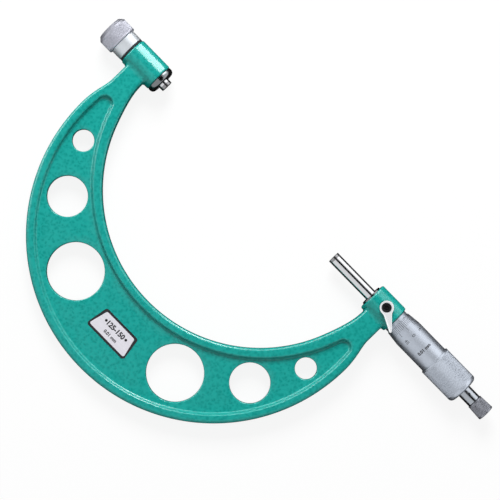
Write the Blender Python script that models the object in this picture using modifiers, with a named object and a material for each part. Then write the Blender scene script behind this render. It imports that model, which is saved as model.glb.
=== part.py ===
"""Outside micrometer for 125 to 150 mm, with an exchangeable anvil and a ratchet stop.

The origin is the middle of the anvil's measuring face. +X runs along the measuring axis towards the
spindle, the bow of the frame hangs towards -Y, and +Z is the side with the plate and the lock lever.
"""

from math import asin, atan2, cos, degrees, pi, radians, sin, sqrt

import bmesh
import bpy
from mathutils import Matrix

# All dimensions are in millimetres; MM turns them into metres
MM = 0.001

# Measuring rods, and the clearance between close pieces
MEASURE_MIN = 125.0
ROD_R = 3.25
TIP_LENGTH, TIP_CHAMFER = 1.5, 0.25
GAP = 0.1

# Frame casting: two circular arcs, thick rims and a thinner web
FRAME_MID_X = 73.1
RIM_HALF, WEB_HALF = 5.3, 2.8
EDGE_ROUND = 1.5
OUTER_ARC_Y, OUTER_ARC_R = -37.1, 98.4
INNER_ARC_Y, INNER_ARC_R = -3.0, 82.9
INNER_ARC_START = 20.5
ARM_OUTER, ARM_INNER = 95.8, 83.3
ARM_TOP_Y, ARM_STRAIGHT_Y = -3.0, -18.0
ARM_FLARE = 1.5

# Pocket in the web, its rounded lip, the fillet at its floor, and the lightening holes
POCKET_OUTER_R = 93.6
POCKET_INNER_Y, POCKET_INNER_R = -0.5, 89.9
POCKET_END_R = 4.0
POCKET_LIP, POCKET_FILLET = 0.9, 1.2
HOLES = ((37.3, -102.0, 15.3), (68.5, -77.6, 10.8), (83.6, -51.2, 5.8))
HOLE_ROUND = 0.6
# How far a cutter's rounded edge starts above the face it cuts, so that no two faces coincide,
# and how far its plain end stands clear of the piece
PROUD, CLEAR = 0.05, 1.0

# Bosses: first end, last end and radius along the measuring axis
ANVIL_BOSS = (-26.2, -6.2, 8.0)
HEAD_BOSS = (153.9, 171.2, 8.2)
BOSS_ROUND = 0.9
BOSS_BORE_R = 6.0

# Plate let into the web, held by two pins
PLATE_X, PLATE_TOP_Y, PLATE_LOW_Y = 72.8, -104.8, -115.6
PLATE_HALF_TOP, PLATE_HALF_LOW = 10.4, 12.6
PLATE_CORNER, PLATE_MARGIN = 1.0, 0.9
PLATE_THICK, RECESS_DEPTH = 0.5, 0.6
PLATE_EDGE = 0.1
PIN_OFFSET, PIN_Y, PIN_R, PIN_DEPTH = 7.3, -108.4, 0.65, 1.8
PIN_TOP_R, PIN_HEAD = 0.4, 0.15

# Anvil side
COLLAR = (-33.5, -27.4, 7.6)
COLLAR_EDGE = 0.3
GROOVE_R = 6.9
RING = (-6.1, -2.8, 7.8)
RING_NOSE, RING_THREAD_R = 2.3, 5.0
SLEEVE_FRONT_X = -3.4
STUB_END_X, STUB_R = -39.5, 6.4
SEAT_X, SEAT_R = -36.0, 5.0
FLANGE_END_X = -40.0
NUT = (-43.2, -33.6, 8.7)
NUT_SLOPE = (2.0, 1.8)
NUT_EDGE = 0.4
NUT_HOLE_R = 2.2

# Measuring head
GUIDE = (153.0, 208.0)
GUIDE_EDGE = 0.3
GUIDE_BORE_END_X = 164.5
RELIEF_END_X, RELIEF_R = 190.0, 4.1
SPINDLE_THREAD = (166.3, 209.0, 3.7)
GUIDE_NECK_X, GUIDE_NECK_R = 200.4, 5.1
SLOT_START_X, SLOT_WIDTH, SLOTS = 196.0, 0.8, 3
SLOT_REACH = (2.0, 8.0)
SLEEVE, SLEEVE_EDGE = (171.3, 200.0, 6.9), 0.2
ADJUSTING_NUT, ADJUSTING_EDGE = (201.0, 206.5, 6.55), 0.4
THIMBLE_START_X, THIMBLE_BEVEL_X = 173.6, 181.0
THIMBLE_EDGE_R, THIMBLE_R, THIMBLE_BORE_R = 7.3, 8.2, 7.05
GRIP = (200.8, 222.8, 9.0)
GRIP_NOSE = 2.0
GRIP_CHAMFER = (0.8, 0.35)
CONE = (212.4, 218.8, 3.4, 2.7)
CONE_NECK_R = 3.1
STUD_R, STUD_START_X = 1.5, 213.6
HUB_CLEARANCE = 0.4

# Ratchet stop
NECK = (222.9, 230.8, 3.9)
SPRING_POCKET_X, SPRING_POCKET_R = 226.9, 2.75
SPRING_R, SPRING_WIRE_R, SPRING_TURNS = 2.0, 0.24, 3
SPANNER_X, SPANNER_R, SPANNER_ANGLE = 225.9, 0.8, 9.0
SPANNER_FLOOR = 2.0
RATCHET_RING, RATCHET_RING_BORE = (229.3, 232.4, 2.6), 1.6
TEETH, TOOTH_DEPTH = 12, 0.4
KNOB = (230.95, 239.8, 4.3, 4.75)
KNOB_RECESS_X, KNOB_RECESS_R = 233.0, 2.85
KNOB_HEAD_X, KNOB_SCREW_R, KNOB_HEAD_R = 237.0, 1.0, 2.1
KNOB_EDGES = (0.25, 0.4)
KNOB_HEAD_DEPTH, KNOB_HEAD_EDGE = 1.1, 0.3
KNOB_SCREW_HOLE_X = 221.0
DRIVER_SLOT = (6.0, 0.6, 1.2)

# Lock: a drop-shaped lever round a socket screw that presses a soft shoe on the spindle
LOCK_X, LOCK_Y = 163.1, 1.2
LEVER_RING_R, LEVER_TIP_R, LEVER_REACH, LEVER_ANGLE = 3.8, 0.75, 12.55, -35.8
LEVER_ROOT_HALF = 2.35
LEVER_LOW, LEVER_HIGH, LEVER_EDGE = 8.55, 10.5, 0.4
SPOT_FACE_Z, SPOT_FACE_MARGIN = 7.8, 0.3
HUB_STEP, HUB_OVERLAP = 0.15, 0.5
LOCK_SCREW_R, LOCK_HEAD_R, LOCK_HEAD_LOW, LOCK_HEAD_HIGH = 1.5, 2.55, 9.1, 10.3
LOCK_HEAD_EDGE, LOCK_HOLE_LOW = 0.2, 1.0
SOCKET_FLATS, SOCKET_DEPTH = 2.5, 1.1
SHOE_HIGH = 4.15

# Facets of a full turn
COARSE, ROUND, FINE = 18, 24, 36


def clear_scene():
    for obj in list(bpy.data.objects):
        bpy.data.objects.remove(obj, do_unlink=True)


def new_collection(name):
    collection = bpy.data.collections.new(name)
    bpy.context.scene.collection.children.link(collection)
    return collection


clear_scene()
PARTS = new_collection("outside_micrometer")
CUTTERS = new_collection("cutters")


def new_material(name, colour, metallic, roughness):
    mat = bpy.data.materials.new(name)
    mat.use_nodes = True
    shader = mat.node_tree.nodes["Principled BSDF"]
    shader.inputs["Base Color"].default_value = (*colour, 1.0)
    shader.inputs["Metallic"].default_value = metallic
    shader.inputs["Roughness"].default_value = roughness
    return mat


ENAMEL = new_material("green_enamel", (0.012, 0.33, 0.27), 0.0, 0.3)
PLATE_METAL = new_material("plate_aluminium", (0.75, 0.75, 0.78), 0.8, 0.35)
STEEL = new_material("ground_steel", (0.72, 0.73, 0.75), 1.0, 0.2)
CARBIDE = new_material("carbide", (0.32, 0.32, 0.33), 1.0, 0.25)
SATIN = new_material("satin_chrome", (0.66, 0.67, 0.69), 1.0, 0.4)
BRIGHT = new_material("bright_chrome", (0.85, 0.86, 0.88), 1.0, 0.12)
BLACK = new_material("black_oxide", (0.02, 0.02, 0.022), 0.6, 0.4)
BRASS = new_material("brass", (0.72, 0.52, 0.2), 1.0, 0.35)


def place(obj, mat):
    """Puts an object among the parts, or among the cutters where it has no material."""
    if mat:
        obj.data.materials.append(mat)
        PARTS.objects.link(obj)
    else:
        CUTTERS.objects.link(obj)
        obj.hide_render = True
        obj.display_type = "WIRE"
    return obj


def bake(obj):
    """Gives the object its evaluated mesh, without modifiers and doubles, smooth but for its corners."""
    graph = bpy.context.evaluated_depsgraph_get()
    mesh = bpy.data.meshes.new_from_object(obj.evaluated_get(graph))
    bm = bmesh.new()
    bm.from_mesh(mesh)
    bmesh.ops.remove_doubles(bm, verts=bm.verts, dist=1e-7)
    bm.to_mesh(mesh)
    bm.free()
    mesh.shade_smooth()
    mesh.set_sharp_from_angle(angle=radians(35))
    if obj.type == "CURVE":
        solid = bpy.data.objects.new(obj.name, mesh)
        solid.matrix_world = obj.matrix_world
        name = obj.name
        bpy.data.objects.remove(obj)
        solid.name = name
        return solid
    obj.modifiers.clear()
    obj.data = mesh
    return obj


def turned(name, profile, mat=None, facets=ROUND):
    """A piece turned on a lathe along its local Z.

    The profile is a list of (height, radius) down the outer side, top to bottom, and back up the bore.
    It is closed by itself, unless it starts and ends on the axis.
    """
    bm = bmesh.new()
    verts = [bm.verts.new((radius * MM, 0, height * MM)) for height, radius in profile]
    loop = verts[1:] + verts[:1] if profile[-1][1] > 0 else verts[1:]
    for start, end in zip(verts, loop):
        bm.edges.new((start, end))
    mesh = bpy.data.meshes.new(name)
    bm.to_mesh(mesh)
    bm.free()
    obj = place(bpy.data.objects.new(name, mesh), mat)
    screw = obj.modifiers.new("turn", "SCREW")
    screw.axis = "Z"
    screw.steps = screw.render_steps = facets
    screw.use_merge_vertices = True
    screw.merge_threshold = 1e-6
    bpy.context.view_layer.update()
    return bake(obj)


def slab(name, outline, low, steps, mat=None, open_base=False):
    """A flat body over a closed outline: an n-gon at height low, raised by steps of (inset, rise).

    A step with no inset is a straight wall, and small steps of both make a rounded edge or a fillet.
    """
    bm = bmesh.new()
    face = bm.faces.new([bm.verts.new((x * MM, y * MM, low * MM)) for x, y in outline])
    bm.normal_update()
    if face.normal.z < 0:
        face.normal_flip()
    base = face
    for inset, rise in steps:
        if inset:
            sizes = {"thickness": inset * MM, "depth": rise * MM}
            bmesh.ops.inset_region(bm, faces=[face], use_even_offset=True, **sizes)
        else:
            below = face
            made = bmesh.ops.extrude_face_region(bm, geom=[below])["geom"]
            face = next(item for item in made if isinstance(item, bmesh.types.BMFace))
            bmesh.ops.translate(bm, vec=(0, 0, rise * MM), verts=face.verts)
            if below is not base:
                bmesh.ops.delete(bm, geom=[below], context="FACES_ONLY")
    bmesh.ops.recalc_face_normals(bm, faces=bm.faces)
    if open_base:
        bmesh.ops.delete(bm, geom=[base], context="FACES")
    mesh = bpy.data.meshes.new(name)
    bm.to_mesh(mesh)
    bm.free()
    return place(bpy.data.objects.new(name, mesh), mat)


def flat_piece(name, outline, low, high, edge, mat=None):
    """A flat piece from a filled 2D curve, between two heights, with rounded edges."""
    curve = bpy.data.curves.new(name, "CURVE")
    curve.dimensions = "2D"
    curve.fill_mode = "BOTH"
    curve.extrude = ((high - low) / 2 - edge) * MM
    curve.bevel_depth = edge * MM
    curve.bevel_resolution = 1
    curve.offset = -edge * MM
    spline = curve.splines.new("POLY")
    spline.points.add(len(outline) - 1)
    for point, (x, y) in zip(spline.points, outline):
        point.co = (x * MM, y * MM, 0, 1)
    spline.use_cyclic_u = True
    obj = bpy.data.objects.new(name, curve)
    bpy.context.scene.collection.objects.link(obj)
    obj.location.z = (low + high) / 2 * MM
    bpy.context.view_layer.update()
    return place(bake(obj), mat)


def combine(obj, tool, operation="DIFFERENCE"):
    boolean = obj.modifiers.new(tool.name, "BOOLEAN")
    boolean.operation = operation
    boolean.object = tool
    return obj


def arc(centre, radius, start, end, count):
    """Points on a circle from one angle to the other, in degrees, both ends included."""
    angles = [radians(start + (end - start) * i / count) for i in range(count + 1)]
    return [(centre[0] + radius * cos(a), centre[1] + radius * sin(a)) for a in angles]


def bezier(controls, count):
    """Points on a cubic curve between its two ends, which are left out."""
    points = []
    for i in range(1, count):
        t = i / count
        weights = ((1 - t) ** 3, 3 * t * (1 - t) ** 2, 3 * t * t * (1 - t), t**3)
        points.append(tuple(sum(w * c[axis] for w, c in zip(weights, controls)) for axis in (0, 1)))
    return points


def quarter(radius, steps):
    """The (inset, rise) steps of a rounded edge that leaves a wall and ends on a flat top."""
    turns = [pi / 2 * i / steps for i in range(steps + 1)]
    return [
        (radius * (cos(a) - cos(b)), radius * (sin(b) - sin(a))) for a, b in zip(turns, turns[1:])
    ]


def hollow_quarter(radius, steps):
    """The same for the top of a cutter: it leaves a flat lip and ends on the wall."""
    return [(rise, inset) for inset, rise in quarter(radius, steps)]


def rounded(low, high, radius, edge, steps=2):
    """The outer side of a turned piece from its top to its bottom, both edges rounded."""
    turns = [pi / 2 * i / steps for i in range(steps + 1)]
    top = [(high - edge * (1 - sin(a)), radius - edge * (1 - cos(a))) for a in reversed(turns)]
    return top + [(low + high - height, r) for height, r in reversed(top)]


def nose_profile(high, radius, nose, steps=3):
    """The rounded end of a turned piece, from its end face to its outer side."""
    turns = [pi / 2 * i / steps for i in range(steps + 1)]
    return [(high - nose * (1 - cos(a)), radius - nose * (1 - sin(a))) for a in turns]


def mirrored(points):
    return [(2 * FRAME_MID_X - x, y) for x, y in reversed(points)]


def frame_outline():
    """The left half from the top of the arm round the outside to the bottom, and up the inside; mirrored."""
    arm_out, arm_in = FRAME_MID_X - ARM_OUTER, FRAME_MID_X - ARM_INNER
    boss_y = -ANVIL_BOSS[2]
    flare_y = boss_y - ARM_FLARE
    outer_x = FRAME_MID_X - OUTER_ARC_R
    inner = arc((FRAME_MID_X, INNER_ARC_Y), INNER_ARC_R, 270, 180 + INNER_ARC_START, 17)
    lean = radians(INNER_ARC_START)
    inner_x, inner_y = inner[-1]
    outside = [(arm_out - ARM_FLARE, ARM_TOP_Y)]
    outside += arc((arm_out - ARM_FLARE, flare_y), ARM_FLARE, 90, 0, 3)
    outside += [(arm_out, ARM_STRAIGHT_Y)]
    outside += bezier(
        ((arm_out, ARM_STRAIGHT_Y), (arm_out, -22.5), (outer_x, -28.0), (outer_x, OUTER_ARC_Y)), 5
    )
    outside += arc((FRAME_MID_X, OUTER_ARC_Y), OUTER_ARC_R, 180, 270, 22)
    inside = inner[1:]
    inside += bezier(
        (
            (inner_x, inner_y),
            (inner_x - 7 * sin(lean), inner_y + 7 * cos(lean)),
            (arm_in, flare_y - 7),
            (arm_in, flare_y),
        ),
        5,
    )
    inside += arc((arm_in + ARM_FLARE, flare_y), ARM_FLARE, 180, 90, 3)
    inside += [(arm_in + ARM_FLARE, ARM_TOP_Y)]
    return outside + mirrored(outside)[1:] + mirrored(inside) + [inner[0]] + inside


def tangent_end(inner_y, inner_r, outer_y, outer_r, end_r):
    """The centre of a circle left of the middle that touches two arcs, one from outside, one from inside."""
    far, near = inner_r + end_r, outer_r - end_r
    y = (far**2 - near**2 - inner_y**2 + outer_y**2) / (2 * (outer_y - inner_y))
    return FRAME_MID_X - sqrt(far**2 - (y - inner_y) ** 2), y


def pocket_outline(grow):
    """The crescent pocket widened by grow: two arcs about the frame's middle, joined by round ends."""
    end = tangent_end(POCKET_INNER_Y, POCKET_INNER_R, OUTER_ARC_Y, POCKET_OUTER_R, POCKET_END_R)
    inner_angle = degrees(atan2(end[1] - POCKET_INNER_Y, end[0] - FRAME_MID_X)) % 360
    outer_angle = degrees(atan2(end[1] - OUTER_ARC_Y, end[0] - FRAME_MID_X)) % 360
    outside = arc((FRAME_MID_X, OUTER_ARC_Y), POCKET_OUTER_R + grow, outer_angle, 270, 20)
    inside = arc((FRAME_MID_X, POCKET_INNER_Y), POCKET_INNER_R - grow, 270, inner_angle, 17)
    cap = arc(end, POCKET_END_R + grow, inner_angle - 180, outer_angle, 7)[1:-1]
    return cap + outside + mirrored(outside)[1:] + mirrored(cap) + mirrored(inside) + inside[1:]


def plate_outline(margin):
    """The trapezoid plate widened by a margin, its corners cut by short arcs."""
    top, low = PLATE_TOP_Y + margin, PLATE_LOW_Y - margin
    corners = [
        (PLATE_X - PLATE_HALF_TOP - margin, top, 180),
        (PLATE_X - PLATE_HALF_LOW - margin, low, 270),
        (PLATE_X + PLATE_HALF_LOW + margin, low, 360),
        (PLATE_X + PLATE_HALF_TOP + margin, top, 450),
    ]
    points = []
    for x, y, angle in corners:
        centre_x = x + PLATE_CORNER * (1 if x < PLATE_X else -1)
        centre_y = y + PLATE_CORNER * (1 if y == low else -1)
        points += arc((centre_x, centre_y), PLATE_CORNER, angle - 90, angle, 3)
    return points


def lever_outline():
    """A ring and a slim tail that tapers from the ring to its round tip."""
    neck = asin(LEVER_ROOT_HALF / LEVER_RING_R)
    slope = degrees(atan2(LEVER_ROOT_HALF - LEVER_TIP_R, LEVER_REACH - LEVER_RING_R * cos(neck)))
    ring = arc((0, 0), LEVER_RING_R, degrees(neck), 360 - degrees(neck), 15)
    return ring + arc((LEVER_REACH, 0), LEVER_TIP_R, slope - 90, 90 - slope, 5)


def cylinder_cutter(name, low, high, radius, facets=ROUND):
    return turned(name, [(high, 0), (high, radius), (low, radius), (low, 0)], facets=facets)


def box_cutter(name, size, centre):
    mesh = bpy.data.meshes.new(name)
    bm = bmesh.new()
    bmesh.ops.create_cube(bm, size=1.0)
    bmesh.ops.scale(bm, vec=[side * MM for side in size], verts=bm.verts)
    bmesh.ops.translate(bm, vec=[value * MM for value in centre], verts=bm.verts)
    bm.to_mesh(mesh)
    bm.free()
    return place(bpy.data.objects.new(name, mesh), None)


def new_empty(name, location, rotation=(0, 0, 0)):
    empty = bpy.data.objects.new(name, None)
    empty.location = [value * MM for value in location]
    empty.rotation_euler = rotation
    empty.empty_display_size = 0.01
    PARTS.objects.link(empty)
    return empty


def on(axis, obj):
    obj.parent = axis
    return obj


MEASURING_AXIS = new_empty("measuring_axis", (0, 0, 0), (0, pi / 2, 0))
LOCK_AXIS = new_empty("lock_axis", (LOCK_X, LOCK_Y, 0))


def make_pocket_cutter():
    """The pocket of the back face, mirrored to the front: lip, wall and fillet from the rim to the web."""
    wall = RIM_HALF - WEB_HALF - POCKET_LIP - POCKET_FILLET
    steps = [(0, CLEAR)] + hollow_quarter(POCKET_LIP, 2) + [(0, wall + PROUD)] + quarter(POCKET_FILLET, 2)
    cutter = slab("pocket_cutter", pocket_outline(POCKET_LIP), -RIM_HALF - CLEAR - PROUD, steps)
    cutter.modifiers.new("front", "MIRROR").use_axis = (False, False, True)
    return cutter


def make_hole_cutters():
    """Round holes through the web with rounded edges on both faces."""
    edges = rounded(-WEB_HALF - PROUD, WEB_HALF + PROUD, 0, -HOLE_ROUND)
    cutters = []
    for number, (offset, y, radius) in enumerate(HOLES, 1):
        for side, sign in (("left", -1), ("right", 1)):
            wide = radius + HOLE_ROUND
            profile = [(WEB_HALF + CLEAR, 0), (WEB_HALF + CLEAR, wide)]
            profile += [(height, radius + extra) for height, extra in edges]
            profile += [(-WEB_HALF - CLEAR, wide), (-WEB_HALF - CLEAR, 0)]
            facets = COARSE if radius == min(hole[2] for hole in HOLES) else ROUND
            cutter = turned(f"hole_{number}_{side}", profile, facets=facets)
            cutter.location = ((FRAME_MID_X + sign * offset) * MM, y * MM, 0)
            cutters.append(cutter)
    return cutters


def make_boss(name, boss):
    low, high, radius = boss
    profile = [(high, 0)] + rounded(low, high, radius, BOSS_ROUND) + [(low, 0)]
    return on(MEASURING_AXIS, turned(name, profile, facets=FINE))


def make_frame(lock_hole):
    steps = [(0, RIM_HALF - EDGE_ROUND)] + quarter(EDGE_ROUND, 2)
    frame = slab("frame", frame_outline(), 0, steps, ENAMEL, open_base=True)
    mirror = frame.modifiers.new("back", "MIRROR")
    mirror.use_axis = (False, False, True)
    mirror.merge_threshold = 1e-6
    for name, boss in (("anvil_boss", ANVIL_BOSS), ("head_boss", HEAD_BOSS)):
        combine(frame, make_boss(name, boss), "UNION")
    combine(frame, make_pocket_cutter())
    for cutter in make_hole_cutters():
        combine(frame, cutter)
    line_bore = cylinder_cutter("line_bore", ANVIL_BOSS[0] - CLEAR, HEAD_BOSS[1] + CLEAR, BOSS_BORE_R, FINE)
    # Half a facet of turn keeps the bore's corners off the spokes of the boss's end faces
    line_bore.rotation_euler.z = pi / FINE
    combine(frame, on(MEASURING_AXIS, line_bore))
    recess_z = WEB_HALF - RECESS_DEPTH
    combine(frame, slab("plate_recess", plate_outline(PLATE_MARGIN), recess_z, [(0, RECESS_DEPTH + CLEAR)]))
    spot = cylinder_cutter("spot_face", SPOT_FACE_Z, HEAD_BOSS[2] + CLEAR, LEVER_RING_R + SPOT_FACE_MARGIN)
    combine(frame, on(LOCK_AXIS, spot))
    return combine(frame, lock_hole)


def make_plate(frame):
    low = WEB_HALF - RECESS_DEPTH + GAP
    plate = flat_piece("scale_plate", plate_outline(0), low, low + PLATE_THICK, PLATE_EDGE, PLATE_METAL)
    floor = low + PLATE_THICK - PIN_DEPTH
    for side, sign in (("left", -1), ("right", 1)):
        x = PLATE_X + sign * PIN_OFFSET
        hole = cylinder_cutter(f"pin_hole_{side}", floor - GAP, WEB_HALF + CLEAR, PIN_R + GAP, COARSE)
        top = WEB_HALF + PIN_HEAD
        profile = [(top, 0), (top, PIN_TOP_R), (WEB_HALF, PIN_R), (floor, PIN_R), (floor, 0)]
        pin = turned(f"plate_pin_{side}", profile, BLACK, COARSE)
        for obj in (hole, pin):
            obj.location = (x * MM, PIN_Y * MM, 0)
        combine(plate, hole)
        combine(frame, hole)


def make_anvil_group():
    """Sleeve through the boss, its front ring, the anvil rod with its hard tip, and the clamp nut."""
    bore = ROD_R + GAP
    boss_back, boss_front = ANVIL_BOSS[0] - GAP, ANVIL_BOSS[1] - GAP
    sleeve = [(SLEEVE_FRONT_X, RING_THREAD_R), (boss_front, RING_THREAD_R), (boss_front, BOSS_BORE_R - GAP)]
    sleeve += [(boss_back, BOSS_BORE_R - GAP), (boss_back, GROOVE_R), (COLLAR[1], GROOVE_R)]
    sleeve += rounded(*COLLAR, COLLAR_EDGE, 1) + [(COLLAR[0], STUB_R)]
    sleeve += [(STUB_END_X, STUB_R), (STUB_END_X, SEAT_R), (SEAT_X, SEAT_R), (SEAT_X, bore)]
    sleeve += [(SLEEVE_FRONT_X, bore)]
    pieces = [turned("anvil_sleeve", sleeve, BRIGHT, FINE)]

    nose = nose_profile(RING[1], RING[2], RING_NOSE)
    ring = [(RING[1], RING_THREAD_R + GAP)] + nose + [(RING[0], RING[2]), (RING[0], RING_THREAD_R + GAP)]
    pieces.append(turned("anvil_front_ring", ring, BRIGHT, FINE))

    front, seat = -TIP_LENGTH - GAP, SEAT_X - GAP
    rod = [(front, 0), (front, ROD_R), (seat, ROD_R), (seat, SEAT_R - GAP)]
    rod += [(FLANGE_END_X, SEAT_R - GAP), (FLANGE_END_X, 0)]
    pieces.append(turned("anvil", rod, STEEL))

    tip = [(0, 0), (0, ROD_R - TIP_CHAMFER), (-TIP_CHAMFER, ROD_R), (-TIP_LENGTH, ROD_R), (-TIP_LENGTH, 0)]
    pieces.append(turned("anvil_tip", tip, CARBIDE))

    low, high, radius = NUT
    thread, floor = STUB_R + GAP, FLANGE_END_X - GAP
    nut = [(high, radius - NUT_EDGE), (high - NUT_EDGE, radius)]
    nut += [(low + NUT_SLOPE[0], radius), (low, radius - NUT_SLOPE[1])]
    nut += [(low, NUT_HOLE_R), (floor, NUT_HOLE_R), (floor, thread), (high, thread)]
    pieces.append(turned("clamp_nut", nut, SATIN, FINE))
    return pieces


def make_guide_sleeve(lock_hole):
    """Inner sleeve: guide bore in front, relief in the middle, and the slotted spindle nut at its end."""
    outer = BOSS_BORE_R - GAP
    nut_bore, bore = SPINDLE_THREAD[2] + GAP, ROD_R + GAP
    front = GUIDE[0]
    profile = [(GUIDE[1], GUIDE_NECK_R), (GUIDE_NECK_X, GUIDE_NECK_R), (GUIDE_NECK_X, outer)]
    profile += [(front + GUIDE_EDGE, outer), (front, outer - GUIDE_EDGE), (front, bore)]
    profile += [(GUIDE_BORE_END_X, bore), (GUIDE_BORE_END_X, RELIEF_R)]
    profile += [(RELIEF_END_X, RELIEF_R), (RELIEF_END_X, nut_bore), (GUIDE[1], nut_bore)]
    sleeve = turned("guide_sleeve", profile, STEEL, FINE)
    combine(sleeve, lock_hole)
    slot_end = GUIDE[1] + CLEAR
    size = (SLOT_REACH[1] - SLOT_REACH[0], SLOT_WIDTH, slot_end - SLOT_START_X)
    centre = (sum(SLOT_REACH) / 2, 0, (SLOT_START_X + slot_end) / 2)
    for number in range(SLOTS):
        slot = box_cutter(f"guide_slot_{number}", size, centre)
        slot.rotation_euler = (0, 0, 2 * pi * number / SLOTS)
        combine(sleeve, on(MEASURING_AXIS, slot))
    return sleeve


def make_ring(name, outside, edge, bore, mat, facets):
    """A plain ring, its outer edges cut by one facet."""
    low, high, _ = outside
    return turned(name, rounded(*outside, edge, 1) + [(low, bore), (high, bore)], mat, facets)


def make_graduated_sleeve():
    return make_ring("graduated_sleeve", SLEEVE, SLEEVE_EDGE, BOSS_BORE_R, SATIN, FINE)


def make_adjusting_nut():
    return make_ring("adjusting_nut", ADJUSTING_NUT, ADJUSTING_EDGE, GUIDE_NECK_R + GAP, BRASS, ROUND)


def make_spindle():
    """Measuring rod, thread, neck, and the cone that carries the thimble, with a hole for the stud."""
    cone_low, cone_high, wide, slim = CONE
    thread_low, thread_high, thread = SPINDLE_THREAD
    front, hole = MEASURE_MIN + TIP_LENGTH + GAP, STUD_R + GAP
    floor = STUD_START_X - HUB_CLEARANCE
    profile = [(floor, 0), (floor, hole), (cone_high, hole), (cone_high, slim)]
    profile += [(cone_low, wide), (cone_low, CONE_NECK_R), (thread_high, CONE_NECK_R), (thread_high, thread)]
    profile += [(thread_low, thread), (thread_low - thread + ROD_R, ROD_R), (front, ROD_R), (front, 0)]
    return turned("spindle", profile, STEEL)


def make_spindle_tip():
    start, end = MEASURE_MIN, MEASURE_MIN + TIP_LENGTH
    profile = [(end, 0), (end, ROD_R), (start + TIP_CHAMFER, ROD_R), (start, ROD_R - TIP_CHAMFER), (start, 0)]
    return turned("spindle_tip", profile, CARBIDE)


def make_thimble():
    """Bevelled front edge, plain barrel, raised grip with a rounded end, and a hub that fits the cone."""
    grip_low, grip_high, grip_r = GRIP
    cone_low, cone_high, wide, slim = CONE
    step, rise = GRIP_CHAMFER
    outer = nose_profile(grip_high, grip_r, GRIP_NOSE)
    outer += [(grip_low, grip_r), (grip_low, THIMBLE_R + rise), (grip_low - step, THIMBLE_R)]
    outer += [(THIMBLE_BEVEL_X, THIMBLE_R), (THIMBLE_START_X, THIMBLE_EDGE_R)]
    outer += [(THIMBLE_START_X, THIMBLE_BORE_R)]
    hub_x = cone_low - HUB_CLEARANCE
    bore = [(hub_x, THIMBLE_BORE_R), (hub_x, wide + GAP)]
    bore += [(cone_high + GAP, slim + GAP), (grip_high, slim + GAP)]
    return turned("thimble", outer + bore, SATIN, FINE)


def make_ratchet_body():
    """Neck with a spanner hole, a pocket for the spring, and the stud that draws the thimble on its cone."""
    low, high, radius = NECK
    shoulder_x, floor = CONE[1] + 2 * GAP, KNOB_SCREW_HOLE_X
    profile = [(floor, 0), (floor, KNOB_SCREW_R + GAP), (SPRING_POCKET_X, KNOB_SCREW_R + GAP)]
    profile += [(SPRING_POCKET_X, SPRING_POCKET_R), (high, SPRING_POCKET_R), (high, radius), (low, radius)]
    profile += [(low, CONE[3]), (shoulder_x, CONE[3]), (shoulder_x, STUD_R)]
    profile += [(STUD_START_X, STUD_R), (STUD_START_X, 0)]
    body = turned("ratchet_body", profile, BRIGHT)
    hole = cylinder_cutter("spanner_hole", SPANNER_FLOOR, radius + CLEAR, SPANNER_R, COARSE)
    hole.location.x = SPANNER_X * MM
    hole.rotation_euler.x = -radians(SPANNER_ANGLE)
    return combine(body, hole)


def make_ratchet_ring():
    """Ring with a crown of V-shaped teeth, cut by bars across its face."""
    low, high, radius = RATCHET_RING
    bore = RATCHET_RING_BORE
    profile = [(high, radius), (low, radius), (low, bore), (high, bore)]
    ring = turned("ratchet_ring", profile, STEEL, 2 * TEETH)
    for number in range(TEETH // 2):
        side = TOOTH_DEPTH * sqrt(2)
        bar = box_cutter(f"tooth_gap_{number}", (4 * radius, side, side), (0, 0, 0))
        bar.data.transform(Matrix.Rotation(pi / 4, 4, "X"))
        bar.location.z = high * MM
        bar.rotation_euler.z = 2 * pi * (number + 0.5) / TEETH
        combine(ring, on(MEASURING_AXIS, bar))
    return ring


def make_ratchet_spring():
    """Coil spring: a poly curve with a round section."""
    curve = bpy.data.curves.new("ratchet_spring", "CURVE")
    curve.dimensions = "3D"
    curve.bevel_depth = SPRING_WIRE_R * MM
    curve.bevel_resolution = 1
    curve.use_fill_caps = True
    per_turn = 12
    count = SPRING_TURNS * per_turn
    start = SPRING_POCKET_X + SPRING_WIRE_R + GAP
    end = RATCHET_RING[0] - SPRING_WIRE_R - GAP
    spline = curve.splines.new("POLY")
    spline.points.add(count)
    for i, point in enumerate(spline.points):
        angle = 2 * pi * i / per_turn
        height = start + (end - start) * i / count
        point.co = (SPRING_R * cos(angle) * MM, SPRING_R * sin(angle) * MM, height * MM, 1)
    spring = bpy.data.objects.new("ratchet_spring", curve)
    return place(spring, STEEL)


def make_ratchet_knob():
    low, high, slim, wide = KNOB
    bore = KNOB_SCREW_R + 1.5 * GAP
    front, end = KNOB_EDGES
    profile = [(high, wide - end), (high - end, wide), (low + front, slim), (low, slim - front)]
    profile += [(low, KNOB_RECESS_R), (KNOB_RECESS_X, KNOB_RECESS_R), (KNOB_RECESS_X, bore)]
    profile += [(KNOB_HEAD_X, bore), (KNOB_HEAD_X, KNOB_HEAD_R + GAP), (high, KNOB_HEAD_R + GAP)]
    return turned("ratchet_knob", profile, SATIN)


def make_knob_screw():
    low, high = KNOB_HEAD_X + 1.5 * GAP, KNOB[1] - KNOB_HEAD_DEPTH
    end = KNOB_SCREW_HOLE_X + 3 * GAP
    profile = [(high, 0), (high, KNOB_HEAD_R - KNOB_HEAD_EDGE), (high - KNOB_HEAD_EDGE, KNOB_HEAD_R)]
    profile += [(low, KNOB_HEAD_R), (low, KNOB_SCREW_R), (end, KNOB_SCREW_R), (end, 0)]
    screw = turned("knob_screw", profile, STEEL, COARSE)
    slot = box_cutter("knob_screw_slot", DRIVER_SLOT, (0, 0, high))
    return combine(screw, on(MEASURING_AXIS, slot))


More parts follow.
